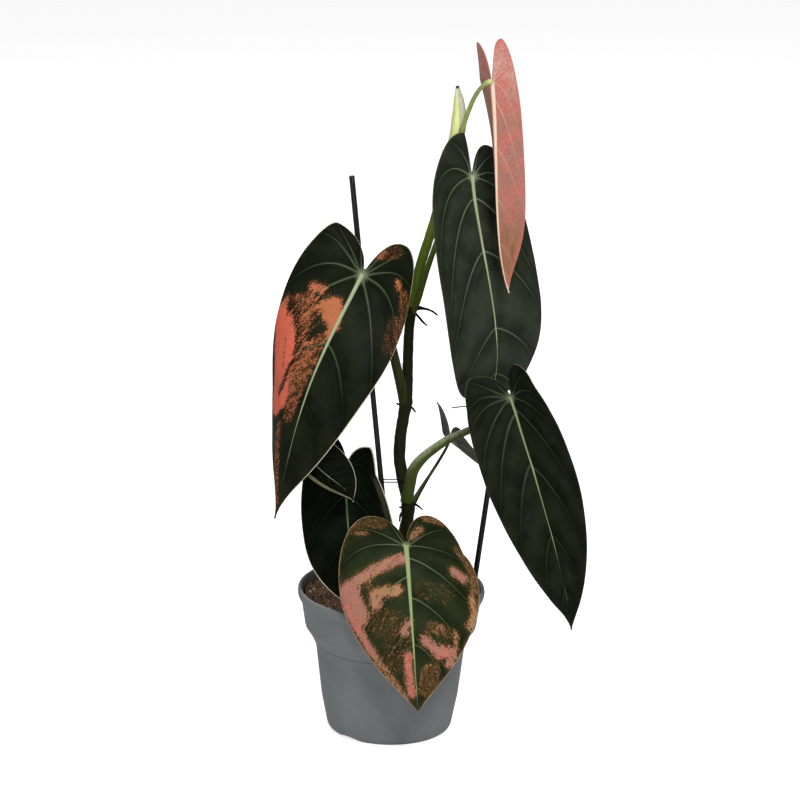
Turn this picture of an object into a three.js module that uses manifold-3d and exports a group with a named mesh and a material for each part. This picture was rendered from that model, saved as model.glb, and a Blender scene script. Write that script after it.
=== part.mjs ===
// A variegated Philodendron melanochrysum in a plain round nursery pot.
// Millimetres, +Z up. The origin is the middle of the pot's flat underside and the front is -Y.
// The plant climbs from the soil: a jointed stem with aerial roots, eight heart-shaped leaves on
// stalks, a sheath round the newest leaf's stalk, two dark stakes and two wire ties.
import * as THREE from 'three';
import { mergeVertices } from 'three/addons/utils/BufferGeometryUtils.js';
import Module from 'manifold-3d';

const wasm = await Module();
wasm.setup();

// Driving dimensions of the pot
const RIM_RADIUS = 75;
const POT_HEIGHT = 118;
const FOOT_RADIUS = 50;
const FLOOR_TOP = 6;
const FLOOR_UNDERSIDE = 4;
const WALL = 1.8;
const POT_SEGMENTS = 48;
const NOTCH_COUNT = 3;
const NOTCH_START_DEG = -131;
const NOTCH_CURVE_RADIUS = 26;
const NOTCH_HEIGHT = 3;
const DRAIN_COUNT = 6;
const DRAIN_RADIUS = 3.5;
const DRAIN_CIRCLE = 28;

// Driving dimensions of the soil, stakes, ties and leaf blades
const SOIL_HEIGHT = 111;
const SOIL_RING_COUNT = 6;
const GAP = 0.3;
const STAKE_RADIUS = 2.2;
const WIRE_RADIUS = 0.5;
const ROOT_RADIUS = 0.9;
const BLADE_THICKNESS = 0.8;
const MIDRIB_DEPTH = 1.3;
const PLEAT_HEIGHT = 0.6;
const LEAF_COLUMNS = [0, 0.06, 0.28, 0.52, 0.78, 1];
const QUARTER_ROUND = 0.5523;
const VEIN_SWEEP = 1.3;
const FIRST_SIDE_VEIN = 0.28;
const FIRST_ROW = 0.05;

// Colours, roughness and metalness as the eye sees them
function finish(color, roughness) {
  return new THREE.MeshStandardMaterial({ color, roughness, metalness: 0 });
}
const potGrey = finish(0x8f9496, 0.55);
const soilBrown = finish(0x3b2a22, 0.95);
const stakeBlack = finish(0x2b2a30, 0.5);
const wireBlack = finish(0x1d1d1f, 0.5);
const stemOlive = finish(0x4d5230, 0.55);
const shootGreen = finish(0x9ab84a, 0.45);
const sheathGreen = finish(0xc6cf86, 0.5);
const stalkGreen = finish(0x8a9c55, 0.5);
const stalkOlive = finish(0x6f7446, 0.55);
const stalkBrown = finish(0x4b4733, 0.6);
const bladeDark = finish(0x3f4a3c, 0.6);
const bladeFront = finish(0x8a7a5c, 0.6);
const bladeCoral = finish(0xc98d78, 0.6);
const bladeUnderside = finish(0x7c7a6c, 0.65);

// Closed meshes, booleans and back again
function toSolid(geometry) {
  const bare = geometry.clone();
  bare.deleteAttribute('normal');
  bare.deleteAttribute('uv');
  const merged = mergeVertices(bare, 1e-4);
  const vertProperties = new Float32Array(merged.attributes.position.array);
  const index = merged.index.array;
  const triVerts = [];
  for (let i = 0; i < index.length; i += 3) {
    const [a, b, c] = [index[i], index[i + 1], index[i + 2]];
    if (a !== b && b !== c && c !== a) triVerts.push(a, b, c);
  }
  let solid = new wasm.Manifold(
    new wasm.Mesh({ numProp: 3, vertProperties, triVerts: new Uint32Array(triVerts) }));
  if (solid.volume() < 0) {
    const turned = [];
    for (let i = 0; i < triVerts.length; i += 3) {
      turned.push(triVerts[i], triVerts[i + 2], triVerts[i + 1]);
    }
    solid = new wasm.Manifold(
      new wasm.Mesh({ numProp: 3, vertProperties, triVerts: new Uint32Array(turned) }));
  }
  return solid;
}

function toGeometry(solid) {
  const mesh = solid.getMesh();
  const geometry = new THREE.BufferGeometry();
  geometry.setAttribute('position', new THREE.BufferAttribute(new Float32Array(mesh.vertProperties), 3));
  geometry.setIndex(new THREE.BufferAttribute(new Uint32Array(mesh.triVerts), 1));
  geometry.computeVertexNormals();
  return geometry;
}

// The biggest body of a solid, for a stalk whose buried end is cut away
function mainBody(solid) {
  const bodies = solid.decompose();
  return bodies.reduce((best, body) => (body.volume() > best.volume() ? body : best));
}

function lathe(profile, segments) {
  const points = profile.map(([r, z]) => new THREE.Vector2(r, z));
  const geometry = new THREE.LatheGeometry(points, segments);
  geometry.rotateX(Math.PI / 2);
  return toSolid(geometry);
}

function cylinder(radius, height, x, y, z, segments = 16) {
  const geometry = new THREE.CylinderGeometry(radius, radius, height, segments);
  geometry.rotateX(Math.PI / 2);
  geometry.translate(x, y, z);
  return toSolid(geometry);
}

// A round stem along a smooth curve, with its radius given at a few stations from 0 to 1
function radiusAt(stations, t) {
  for (let i = 1; i < stations.length; i += 1) {
    const [t0, r0] = stations[i - 1];
    const [t1, r1] = stations[i];
    if (t <= t1) return THREE.MathUtils.lerp(r0, r1, (t - t0) / (t1 - t0));
  }
  return stations[stations.length - 1][1];
}

function taperedTube(points, stations, options = {}) {
  const { sides = 8, steps = 16, grow = 0, end = 1, closed = false } = options;
  const curve = new THREE.CatmullRomCurve3(points.map((p) => new THREE.Vector3(...p)), closed);
  const frames = curve.computeFrenetFrames(steps, closed);
  const ringCount = closed ? steps : steps + 1;
  const positions = [];
  const indices = [];
  for (let i = 0; i < ringCount; i += 1) {
    const t = (i / steps) * end;
    const centre = curve.getPointAt(t);
    if (!closed && i === 0) centre.addScaledVector(frames.tangents[i], -grow);
    if (!closed && i === steps) centre.addScaledVector(frames.tangents[i], grow);
    const radius = radiusAt(stations, t) + grow;
    for (let k = 0; k < sides; k += 1) {
      const angle = (k / sides) * 2 * Math.PI;
      const p = centre.clone()
        .addScaledVector(frames.normals[i], radius * Math.cos(angle))
        .addScaledVector(frames.binormals[i], radius * Math.sin(angle));
      positions.push(p.x, p.y, p.z);
    }
  }
  for (let i = 0; i < (closed ? ringCount : ringCount - 1); i += 1) {
    for (let k = 0; k < sides; k += 1) {
      const a = i * sides + k;
      const b = i * sides + ((k + 1) % sides);
      const c = ((i + 1) % ringCount) * sides + k;
      const d = ((i + 1) % ringCount) * sides + ((k + 1) % sides);
      indices.push(a, b, d, a, d, c);
    }
  }
  if (!closed) {
    for (let k = 1; k < sides - 1; k += 1) {
      const last = (ringCount - 1) * sides;
      indices.push(0, k + 1, k, last, last + k, last + k + 1);
    }
  }
  const geometry = new THREE.BufferGeometry();
  geometry.setAttribute('position', new THREE.Float32BufferAttribute(positions, 3));
  geometry.setIndex(indices);
  return toSolid(geometry);
}

// A thin sheet of triangles given thickness both ways along its normals
function thicken(vertices, triangles, above, below) {
  const normals = vertices.map(() => new THREE.Vector3());
  const edge1 = new THREE.Vector3();
  const edge2 = new THREE.Vector3();
  for (const [a, b, c] of triangles) {
    edge1.subVectors(vertices[b], vertices[a]);
    edge2.subVectors(vertices[c], vertices[a]);
    const face = edge1.clone().cross(edge2);
    for (const k of [a, b, c]) normals[k].add(face);
  }
  const count = vertices.length;
  const positions = new Float32Array(count * 6);
  vertices.forEach((vertex, i) => {
    const normal = normals[i].normalize();
    vertex.clone().addScaledVector(normal, above(i)).toArray(positions, i * 3);
    vertex.clone().addScaledVector(normal, -below(i)).toArray(positions, (count + i) * 3);
  });
  const indices = [];
  const edges = new Map();
  for (const [a, b, c] of triangles) {
    indices.push(a, b, c, count + a, count + c, count + b);
    for (const [p, q] of [[a, b], [b, c], [c, a]]) edges.set(`${p},${q}`, [p, q]);
  }
  for (const [p, q] of edges.values()) {
    if (!edges.has(`${q},${p}`)) indices.push(q, p, count + p, q, count + p, count + q);
  }
  const geometry = new THREE.BufferGeometry();
  geometry.setAttribute('position', new THREE.BufferAttribute(positions, 3));
  geometry.setIndex(indices);
  return toSolid(geometry);
}

// Leaf blades. Each blade is drawn flat as two half outlines, then hung on its midrib.
// midrib: Bezier points from the stalk's end to the leaf tip
// half, back, out: half width, and how far each basal lobe reaches back and out, [left, right]
// widest: place of the widest point along the midrib; full: how full the tip half is
// sinus: degrees that the cleft opens on each side; lean: how much the lobes bend towards the face
// turn: degrees that the blade is turned about its midrib at the base, middle and tip
// rows: rows of faces from the cleft to the tip
// fold, curl, edge: degrees that each half is folded up, bent along its width, and rolled at its edge
const LEAVES = {
  leaf_new: {
    midrib: [[70, -40, 540], [77, -42, 479], [73, -48, 415], [87, -42, 375]],
    half: [22, 26], widest: 0.5, full: 0.5, back: [33, 30], out: [13, 16], sinus: 11, lean: -0.9,
    turn: [206, 230, 210], fold: [43, 34], curl: [3, 15], edge: [0, 0], rows: 18,
    material: bladeCoral,
  },
  leaf_top: {
    midrib: [[57, -16, 460], [61, -34, 410], [98, -27, 304], [68, 8, 268.5]],
    half: [53, 52], widest: 0.52, full: 0.72, back: [34, 25], out: [7, 15], sinus: 8, lean: 0,
    turn: [-7, -12, -8], fold: [28, -8], curl: [14, -45], edge: [0, 0], rows: 20,
    material: bladeDark,
  },
  leaf_left: {
    midrib: [[-27, -34, 385], [-66, -64, 311], [-73, -71, 293], [-92, -52, 192]],
    half: [55, 50], widest: 0.3, full: 0.65, back: [28, 37], out: [34, 23], sinus: 8, lean: -0.5,
    turn: [-31, 16, 7], fold: [-12, 18], curl: [-53, 0], edge: [0, 0], rows: 20,
    material: bladeCoral,
  },
  leaf_right: {
    midrib: [[91, -44, 291], [110, -64, 238], [138, -73, 148], [143, -56, 106]],
    half: [40, 43], widest: 0.23, full: 0.47, back: [24, 23], out: [25, 17], sinus: 8, lean: -0.2,
    turn: [25, 8, 12], fold: [22, 26], curl: [6, 4], edge: [0, 0], rows: 20,
    material: bladeDark,
  },
  leaf_front: {
    midrib: [[11, -60, 173], [15, -86, 145], [20, -94, 78], [23, -92, 46]],
    half: [56, 58], widest: 0.28, full: 0.45, back: [28, 30], out: [27, 24], sinus: 8, lean: -0.2,
    turn: [-15, 5, 2], fold: [2, -3], curl: [-25, -34], edge: [0, 0], rows: 20,
    material: bladeFront,
  },
  leaf_low_left: {
    midrib: [[-37, -18, 224], [-39, -41, 184], [-26, -50, 135], [-26, -54, 114]],
    half: [37, 39.5], widest: 0.42, full: 0.55, back: [26, 20], out: [24, 25], sinus: 5, lean: 0.5,
    turn: [-33, -2, 6], fold: [4, -7], curl: [-36, -37], edge: [0, 113], rows: 18,
    material: bladeDark,
  },
  leaf_small_left: {
    midrib: [[-73, -44, 255], [-62, -53, 225], [-38, -54, 225], [-31, -48, 205]],
    half: [19, 22], widest: 0.38, full: 0.64, back: [14, 14], out: [10, 10], sinus: 10, lean: 0,
    turn: [-3, -19, -20], fold: [31, 10], curl: [33, -14], edge: [110, 0], rows: 14,
    material: bladeDark,
  },
  leaf_small_right: {
    midrib: [[45, 10, 242], [46, 14, 231], [79, 23, 209.5], [94, 30, 190.5]],
    half: [15, 10.5], widest: 0.4, full: 0.55, back: [11, 31], out: [7, 12.5], sinus: 8, lean: -0.43,
    turn: [195, 220, 206], fold: [0, 44], curl: [-28, -11], edge: [0, 0], rows: 12,
    material: bladeUnderside,
  },
};

// Half outline of the flat blade: x runs along the midrib, y across it, q from cleft to tip
function halfOutline(leaf, length, side) {
  const half = leaf.half[side];
  const back = leaf.back[side];
  const out = leaf.out[side];
  const sinus = THREE.MathUtils.degToRad(leaf.sinus);
  const widest = leaf.widest * length;
  const v = (x, y) => new THREE.Vector2(x, y);
  const base = v(0, 0);
  const lobeTop = v(-back, out);
  const side0 = v(widest, half);
  const tip = v(length, 0);
  const cleft = new THREE.CubicBezierCurve(
    base, v(-0.55 * back * Math.cos(sinus), 0.55 * back * Math.sin(sinus)),
    v(-back, out * (1 - QUARTER_ROUND)), lobeTop);
  const shoulder = new THREE.CubicBezierCurve(
    lobeTop, v(-back, out + 1.1 * QUARTER_ROUND * (half - out)),
    v(widest - QUARTER_ROUND * (widest + back), half), side0);
  const point = new THREE.CubicBezierCurve(
    side0, v(widest + leaf.full * (length - widest), half),
    v(length - 0.16 * (length - widest), 0.06 * half), tip);
  return (q) => {
    if (q < 0.2) return cleft.getPoint(q / 0.2);
    if (q < 0.6) return shoulder.getPoint((q - 0.2) / 0.4);
    return point.getPoint((q - 0.6) / 0.4);
  };
}

// Where the cross-section of one half lies: sideways and up, as shares of its flat width
function halfSection(leaf, side) {
  const steps = 60;
  const across = [0];
  const up = [0];
  for (let i = 0; i < steps; i += 1) {
    const v = (i + 0.5) / steps;
    const rolled = Math.max(0, (v - 0.6) / 0.4) ** 2;
    const angle = THREE.MathUtils.degToRad(
      leaf.fold[side] + leaf.curl[side] * v + leaf.edge[side] * rolled);
    across.push(across[i] + Math.cos(angle) / steps);
    up.push(up[i] + Math.sin(angle) / steps);
  }
  return (v) => {
    const i = Math.min(steps - 1, Math.floor(v * steps));
    const rest = v * steps - i;
    return [THREE.MathUtils.lerp(across[i], across[i + 1], rest),
      THREE.MathUtils.lerp(up[i], up[i + 1], rest)];
  };
}

// The blade's axes at a place b along the midrib; b below 0 runs back into the lobes
function bladeFrame(leaf, curve, length, b) {
  const t = THREE.MathUtils.clamp(b / length, 0, 1);
  const centre = curve.getPoint(t);
  const along = curve.getTangent(t);
  const across = new THREE.Vector3(0, -1, 0).cross(along).normalize();
  const up = along.clone().cross(across);
  const [base, middle, tip] = leaf.turn;
  const turn = THREE.MathUtils.degToRad(
    base + (tip - base) * t + (middle - (base + tip) / 2) * 4 * t * (1 - t));
  const turnedAcross = across.clone().multiplyScalar(Math.cos(turn)).addScaledVector(up, Math.sin(turn));
  const turnedUp = up.clone().multiplyScalar(Math.cos(turn)).addScaledVector(across, -Math.sin(turn));
  const behind = Math.min(b, 0);
  centre.addScaledVector(along, behind);
  centre.addScaledVector(turnedUp, (leaf.lean * behind * behind) / length);
  return { centre, across: turnedAcross, up: turnedUp };
}

// The sheet of one blade: rows follow the side veins, which fan out from the stalk's end
function bladeSheet(leaf) {
  const curve = new THREE.CubicBezierCurve3(...leaf.midrib.map((p) => new THREE.Vector3(...p)));
  const length = curve.getLength();
  const outlines = [halfOutline(leaf, length, 0), halfOutline(leaf, length, 1)];
  const sections = [halfSection(leaf, 0), halfSection(leaf, 1)];
  const vertices = [];
  const onMidrib = [];
  const add = (point, midrib) => {
    vertices.push(point);
    onMidrib.push(midrib);
    return vertices.length - 1;
  };
  const place = (side, q, v, foot, pleat) => {
    const rim = outlines[side](q);
    const b = foot + (rim.x - foot) * v ** VEIN_SWEEP;
    const [across, up] = sections[side](v);
    const frame = bladeFrame(leaf, curve, length, b);
    return frame.centre
      .addScaledVector(frame.across, (side === 0 ? -1 : 1) * rim.y * across)
      .addScaledVector(frame.up, rim.y * up + pleat);
  };
  const base = add(bladeFrame(leaf, curve, length, 0).centre, true);
  const tip = add(bladeFrame(leaf, curve, length, length).centre, true);
  const midribOfRow = [];
  const grid = [[], []];
  for (let row = 0; row < leaf.rows; row += 1) {
    const q = FIRST_ROW + ((1 - FIRST_ROW) * row) / leaf.rows;
    const reach = (outlines[0](q).x + outlines[1](q).x) / 2 / length;
    const foot = length * Math.max(0, (reach - FIRST_SIDE_VEIN) / (1 - FIRST_SIDE_VEIN)) ** 1.15;
    midribOfRow.push(foot > 0 ? add(bladeFrame(leaf, curve, length, foot).centre, true) : base);
    for (const side of [0, 1]) {
      grid[side].push(LEAF_COLUMNS.map((v, column) => {
        if (column === 0) return midribOfRow[row];
        const pleat = (row % 2 ? 1 : -1) * PLEAT_HEIGHT * Math.sin(Math.PI * v * 0.8);
        return add(place(side, q, v, foot, pleat), false);
      }));
    }
  }
  const triangles = [];
  const face = (side, a, b, c) => {
    if (a === b || b === c || c === a) return;
    triangles.push(side === 0 ? [a, b, c] : [a, c, b]);
  };
  for (const side of [0, 1]) {
    for (let row = 0; row < leaf.rows; row += 1) {
      const here = grid[side][row];
      const next = row + 1 < leaf.rows ? grid[side][row + 1] : LEAF_COLUMNS.map(() => tip);
      for (let column = 0; column + 1 < LEAF_COLUMNS.length; column += 1) {
        face(side, here[column], here[column + 1], next[column + 1]);
        face(side, here[column], next[column + 1], next[column]);
      }
    }
  }
  return { vertices, triangles, onMidrib };
}

function blade(leaf, grow = 0) {
  const { vertices, triangles, onMidrib } = bladeSheet(leaf);
  const half = BLADE_THICKNESS / 2 + grow;
  return thicken(vertices, triangles, () => half, (i) => (onMidrib[i] ? half + MIDRIB_DEPTH : half));
}

// The climbing stem, swollen at its joints, with the dark aerial roots that grow at them
const STEM_POINTS = [[9, 3, 70], [9, 2, 140], [9.5, 0, 162], [12, 0, 176], [12, 0, 190], [9, 0, 203],
  [5, 0, 224], [5, 0, 241], [7, 0, 258], [9, 0, 271], [10, 0, 290], [10, 0, 310], [10.5, 0, 330],
  [12, 0, 351.6]];
const STEM_RADII = [[0, 5], [0.3, 4.9], [0.41, 5.6], [0.5, 4.8], [0.65, 4.7], [0.72, 5.4], [0.78, 4.3],
  [0.95, 3.9], [1, 4.6]];
const ROOTS = [
  [[12, 0, 346.5], [17, -3, 349.8], [23, -5, 350.5], [28, -7, 349.5], [33, -9, 346.5]],
  [[12, 1, 348], [17, 2, 343], [21, 3, 338], [25, 4, 334]],
  [[12, 0, 346.5], [16, 4, 349.5], [22, 6, 348], [28, 5, 346]],
  [[9, 0, 270], [4, -2, 271], [1, -3, 272.5]],
  [[10, 0, 270], [14, -4, 269], [17, -5, 265.5]],
  [[12, 0, 182], [7, -4, 181], [5.5, -5.5, 174]],
  [[12, 0, 184], [7, 2, 184], [5, 4, 183.5]],
  [[14, 0, 188], [19, -3, 188], [24, -5, 184.5]],
];

function stem(grow = 0) {
  return taperedTube(STEM_POINTS, STEM_RADII, { sides: 12, steps: 32, grow });
}

function rootedStem(grow = 0) {
  return ROOTS.reduce((solid, points) => {
    const root = taperedTube(
      points, [[0, ROOT_RADIUS + 0.3], [1, ROOT_RADIUS - 0.2]], { sides: 5, steps: 6, grow });
    return solid.add(root);
  }, stem(grow));
}

// The green shoot above the top joint, and the sheath that opens round the newest stalk
const SHOOT_POINTS = [[12, 0, 350.5], [15, 1, 368], [19, 1, 386], [25, 1, 407], [31, 1, 429], [37, 1, 453],
  [39.5, 0.8, 462]];
const SHOOT_RADII = [[0, 4.3], [0.3, 3.9], [1, 3.6]];
const SHEATH_AXIS = [[39.5, 0.7, 463], [43, 0, 480], [45.5, 0, 492], [46.5, 0, 505], [46, 0, 517], [44.5, 0, 528]];
const SHEATH_RADII = [[0, 4.7], [0.3, 5.6], [0.6, 5.8], [0.85, 3.6], [1, 0.9]];
const SHEATH_FACING_DEG = -45;
const SHEATH_OPENING_DEG = [40, 130];
const SHEATH_ROWS = 9;
const SHEATH_COLUMNS = 10;

function shoot(grow = 0) {
  return taperedTube(SHOOT_POINTS, SHOOT_RADII, { sides: 10, steps: 12, grow });
}

function sheath(grow = 0) {
  const curve = new THREE.CatmullRomCurve3(SHEATH_AXIS.map((p) => new THREE.Vector3(...p)));
  const vertices = [];
  const triangles = [];
  for (let row = 0; row <= SHEATH_ROWS; row += 1) {
    const t = row / SHEATH_ROWS;
    const centre = curve.getPointAt(t);
    const radius = radiusAt(SHEATH_RADII, t);
    const opening = THREE.MathUtils.lerp(SHEATH_OPENING_DEG[0], SHEATH_OPENING_DEG[1], t);
    for (let column = 0; column <= SHEATH_COLUMNS; column += 1) {
      const share = column / SHEATH_COLUMNS;
      const angle = THREE.MathUtils.degToRad(SHEATH_FACING_DEG + opening / 2 + (360 - opening) * share);
      vertices.push(new THREE.Vector3(
        centre.x + radius * Math.cos(angle), centre.y + radius * Math.sin(angle), centre.z));
    }
  }
  const across = SHEATH_COLUMNS + 1;
  for (let row = 0; row < SHEATH_ROWS; row += 1) {
    for (let column = 0; column < SHEATH_COLUMNS; column += 1) {
      const a = row * across + column;
      triangles.push([a, a + 1, a + across + 1], [a, a + across + 1, a + across]);
    }
  }
  const half = BLADE_THICKNESS / 2 + grow;
  return thicken(vertices, triangles, () => half, () => half);
}

// Leaf stalks, each drawn from inside what it grows from to the cleft of its leaf
const STALKS = {
  stalk_new: {
    leaf: 'leaf_new', material: stalkGreen, radii: [[0, 2.2], [0.5, 1.8], [1, 1.5]],
    points: [[39.5, 0.8, 459], [42.5, 0.5, 474], [46, 0, 487], [49, -4, 496], [52, -12, 507.5],
      [55.5, -22, 520], [59.5, -34, 531], [63.5, -43, 538], [67.5, -46, 541.5], [70, -42, 541]],
  },
  stalk_top: {
    leaf: 'leaf_top', material: shootGreen, radii: [[0, 3], [0.2, 2.3], [1, 1.9]],
    points: [[12, 0, 344], [17, -5, 358], [24, -8, 384], [31, -7, 406], [39, -4, 428], [47, -2, 446],
      [54, -6, 457], [57, -12, 461], [57, -16, 460]],
  },
  stalk_left: {
    leaf: 'leaf_left', material: stalkOlive, radii: [[0, 4.6], [0.25, 3.9], [0.6, 3], [1, 2.2]],
    points: [[9, 0, 268], [5, -3, 287], [1, -6, 304], [-3, -9, 322], [-8, -12, 343], [-16, -16, 364],
      [-23, -23, 381], [-26, -30, 387], [-27, -34, 385]],
  },
  stalk_right: {
    leaf: 'leaf_right', material: stalkGreen, radii: [[0, 5.2], [0.16, 4.8], [0.3, 3.8], [0.6, 2.8], [1, 2]],
    points: [[11, -1, 190], [13, -3, 205], [16, -5, 218], [23, -6, 228], [32, -6, 236], [42, -5, 243],
      [54, -5, 249], [68, -7, 257], [81, -13, 269.5], [87, -26, 282.5], [91, -44, 291]],
  },
  stalk_front: {
    leaf: 'leaf_front', material: stalkOlive, radii: [[0, 2.8], [0.3, 2.4], [1, 2]],
    points: [[9, 1, 122], [10, -12, 132], [11, -30, 151], [11, -46, 167], [11, -55, 173.5], [11, -60, 173]],
  },
  stalk_low_left: {
    leaf: 'leaf_low_left', material: stalkOlive, radii: [[0, 2.8], [0.3, 2.4], [1, 2]],
    points: [[8, 1, 128], [-2, -4, 145], [-15, -5, 175], [-28, -5, 207], [-35, -10, 223], [-37, -18, 224]],
  },
  stalk_small_left: {
    leaf: 'leaf_small_left', material: stalkBrown, radii: [[0, 2.4], [0.2, 1.9], [1, 1.4]],
    points: [[9, 3, 136], [-4, 3, 152], [-22, 4, 190], [-40, 1, 220], [-54, -5, 246], [-65, -18, 263],
      [-71, -34, 264], [-73, -44, 255]],
  },
  stalk_small_right: {
    leaf: 'leaf_small_right', material: stalkBrown, radii: [[0, 2.9], [0.25, 2.2], [0.5, 1.3], [1, 1.1]],
    points: [[12, 2, 176], [17, 3, 189], [22, 5, 198], [28, 7, 208], [36, 9, 221], [43, 11, 234], [45, 10, 241]],
  },
};

// A stalk is stopped just short of its blade, and what it grows from is cut out of its foot
function stalk(spec, parent) {
  const ownBlade = blade(LEAVES[spec.leaf]);
  let end = 1;
  let tube = taperedTube(spec.points, spec.radii, { sides: 8, steps: 16 });
  while (tube.minGap(ownBlade, 1) < GAP) {
    end -= 0.003;
    tube = taperedTube(spec.points, spec.radii, { sides: 8, steps: 16, end });
  }
  return mainBody(tube.subtract(parent));
}

// Stakes and the wire ties that hold the stem and one stalk to them
const STAKES = {
  stake_left: [[7.6, 22, 39], [-36, -8, 457]],
  stake_right: [[63, 7, 90], [85, 7, 274]],
};
const TIES = {
  tie_left: [[-13.4, 10.5, 203.6], [-11, 13.4, 203], [-6, 12.6, 203.8], [3, 7.6, 205.6], [10.5, 5.8, 206.2],
    [14.3, 1.5, 207], [13.5, -3.2, 208], [8.5, -5.9, 208], [2.6, -3.8, 207], [-5, 1.8, 205],
    [-11, 6.8, 203.7]],
  tie_right: [[78.5, -13, 266], [82, -18, 267.5], [87, -16.5, 272.5], [88.5, -2, 272], [88, 7.5, 271],
    [84.6, 10.8, 270.5], [81.2, 7.5, 270], [79.6, -2, 268]],
};
const TIE_TAIL = [[79.6, -2, 268], [72, -4, 270.5], [64, -5, 271], [54, -8, 272], [45, -12, 272]];

function stake([bottom, top], grow = 0) {
  return taperedTube([bottom, top], [[0, STAKE_RADIUS], [1, STAKE_RADIUS]], { sides: 10, steps: 2, grow });
}

function tie(points, grow = 0) {
  return taperedTube(
    points, [[0, WIRE_RADIUS], [1, WIRE_RADIUS]], { sides: 5, steps: 28, grow, closed: true });
}

// The pot: thin wall, flared collar, rolled lip, raised floor with drain holes, notched foot
function pot() {
  const shell = lathe([
    [0, 0], [14, 0], [15.5, FLOOR_UNDERSIDE], [40, FLOOR_UNDERSIDE], [41, 0], [FOOT_RADIUS - 4, 0],
    [FOOT_RADIUS - 1, 1.5], [FOOT_RADIUS + 0.6, 5], [55, 28], [59.6, 67], [61.5, 74], [65, 81], [68.4, 86],
    [69.4, 91], [72, 108], [74.4, 111], [RIM_RADIUS, 114.5], [74.4, POT_HEIGHT - 0.6], [73.2, POT_HEIGHT],
    [72, POT_HEIGHT - 0.8], [72 - WALL, 108], [69.4 - WALL, 91], [66.4, 86.5], [63.2, 81.2], [59.8, 74],
    [59.6 - WALL, 67], [55 - WALL, 28], [FOOT_RADIUS + 0.8 - WALL, 9], [FOOT_RADIUS - 4, FLOOR_TOP],
    [0, FLOOR_TOP],
  ], POT_SEGMENTS);
  let solid = shell;
  for (let i = 0; i < NOTCH_COUNT; i += 1) {
    const angle = THREE.MathUtils.degToRad(NOTCH_START_DEG + (360 * i) / NOTCH_COUNT);
    const geometry = new THREE.CylinderGeometry(NOTCH_CURVE_RADIUS, NOTCH_CURVE_RADIUS, 20, 48);
    geometry.rotateZ(Math.PI / 2);
    geometry.translate(FOOT_RADIUS, 0, NOTCH_HEIGHT - NOTCH_CURVE_RADIUS);
    geometry.rotateZ(angle);
    solid = solid.subtract(toSolid(geometry));
  }
  for (let i = 0; i < DRAIN_COUNT; i += 1) {
    const angle = (i / DRAIN_COUNT) * 2 * Math.PI;
    solid = solid.subtract(cylinder(
      DRAIN_RADIUS, 12, DRAIN_CIRCLE * Math.cos(angle), DRAIN_CIRCLE * Math.sin(angle), FLOOR_TOP));
  }
  return solid;
}

// The soil fills the pot to just under the lip; its top is gently lumpy
function soilBump(x, y) {
  return 1.1 * Math.sin(x * 0.21 + 1.3) * Math.cos(y * 0.17) + 0.7 * Math.sin(x * 0.47 - y * 0.39);
}

function soil(holes) {
  const body = new THREE.LatheGeometry([
    [0, FLOOR_TOP + GAP], [FOOT_RADIUS - 4, FLOOR_TOP + GAP], [FOOT_RADIUS - 1.5, 9.5], [52.8, 28], [57.4, 67],
    [59.2, 74], [62.4, 80.6], [65.4, 86], [67.2, 91], [69.6, 107], [69.6, 109],
    ...Array.from({ length: SOIL_RING_COUNT }, (_, i) => {
      const share = 1 - (i + 1) / SOIL_RING_COUNT;
      return [68.5 * share, SOIL_HEIGHT];
    }),
  ].map(([r, z]) => new THREE.Vector2(r, z)), POT_SEGMENTS);
  body.rotateX(Math.PI / 2);
  const position = body.attributes.position;
  for (let i = 0; i < position.count; i += 1) {
    if (position.getZ(i) > SOIL_HEIGHT - 0.5) {
      position.setZ(i, SOIL_HEIGHT + soilBump(position.getX(i), position.getY(i)));
    }
  }
  return holes.reduce((solid, hole) => solid.subtract(hole), toSolid(body));
}

// Put every piece in the group as a named mesh
const group = new THREE.Group();
function addPiece(name, solid, material) {
  const mesh = new THREE.Mesh(toGeometry(solid), material);
  mesh.name = name;
  group.add(mesh);
}

const stemRoom = rootedStem(GAP);
const shootRoom = shoot(GAP);
const parents = {
  stalk_new: shootRoom.add(sheath(GAP)),
  stalk_top: stemRoom.add(shootRoom),
  stalk_right: stemRoom.add(tie(TIES.tie_left, GAP)).add(tie(TIES.tie_right, GAP)),
};
addPiece('pot', pot(), potGrey);
addPiece('soil', soil([stemRoom, ...Object.values(STAKES).map((ends) => stake(ends, GAP))]), soilBrown);
for (const [name, ends] of Object.entries(STAKES)) addPiece(name, stake(ends), stakeBlack);
addPiece('stem', rootedStem(), stemOlive);
addPiece('shoot', shoot().subtract(stem(GAP)), shootGreen);
addPiece('sheath', sheath(), sheathGreen);
for (const [name, spec] of Object.entries(STALKS)) {
  addPiece(name, stalk(spec, parents[name] ?? stemRoom), spec.material);
}
for (const [name, leaf] of Object.entries(LEAVES)) addPiece(name, blade(leaf), leaf.material);
addPiece('tie_left', tie(TIES.tie_left), wireBlack);
addPiece('tie_right', tie(TIES.tie_right).add(
  taperedTube(TIE_TAIL, [[0, WIRE_RADIUS], [1, WIRE_RADIUS - 0.1]], { sides: 6, steps: 12 })), wireBlack);

export default group;
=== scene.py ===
# %% [markdown]
# # A potted variegated Philodendron melanochrysum
#
# This lesson dresses a plain solid model of a climbing house plant. The solid model is the frame:
# it fixes where every leaf, stalk and the pot stand. Each cell below replaces some of its plain
# pieces by finer ones of the same form, and gives them materials made only of nodes.
#
# We work in metres, but plants this size are easier to think of in millimetres, so lengths are
# written in millimetres and multiplied by `MM` at the last moment.

# %% Load the frame
import bpy, bmesh, math
import numpy as np
from mathutils import Matrix, Vector, noise


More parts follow.
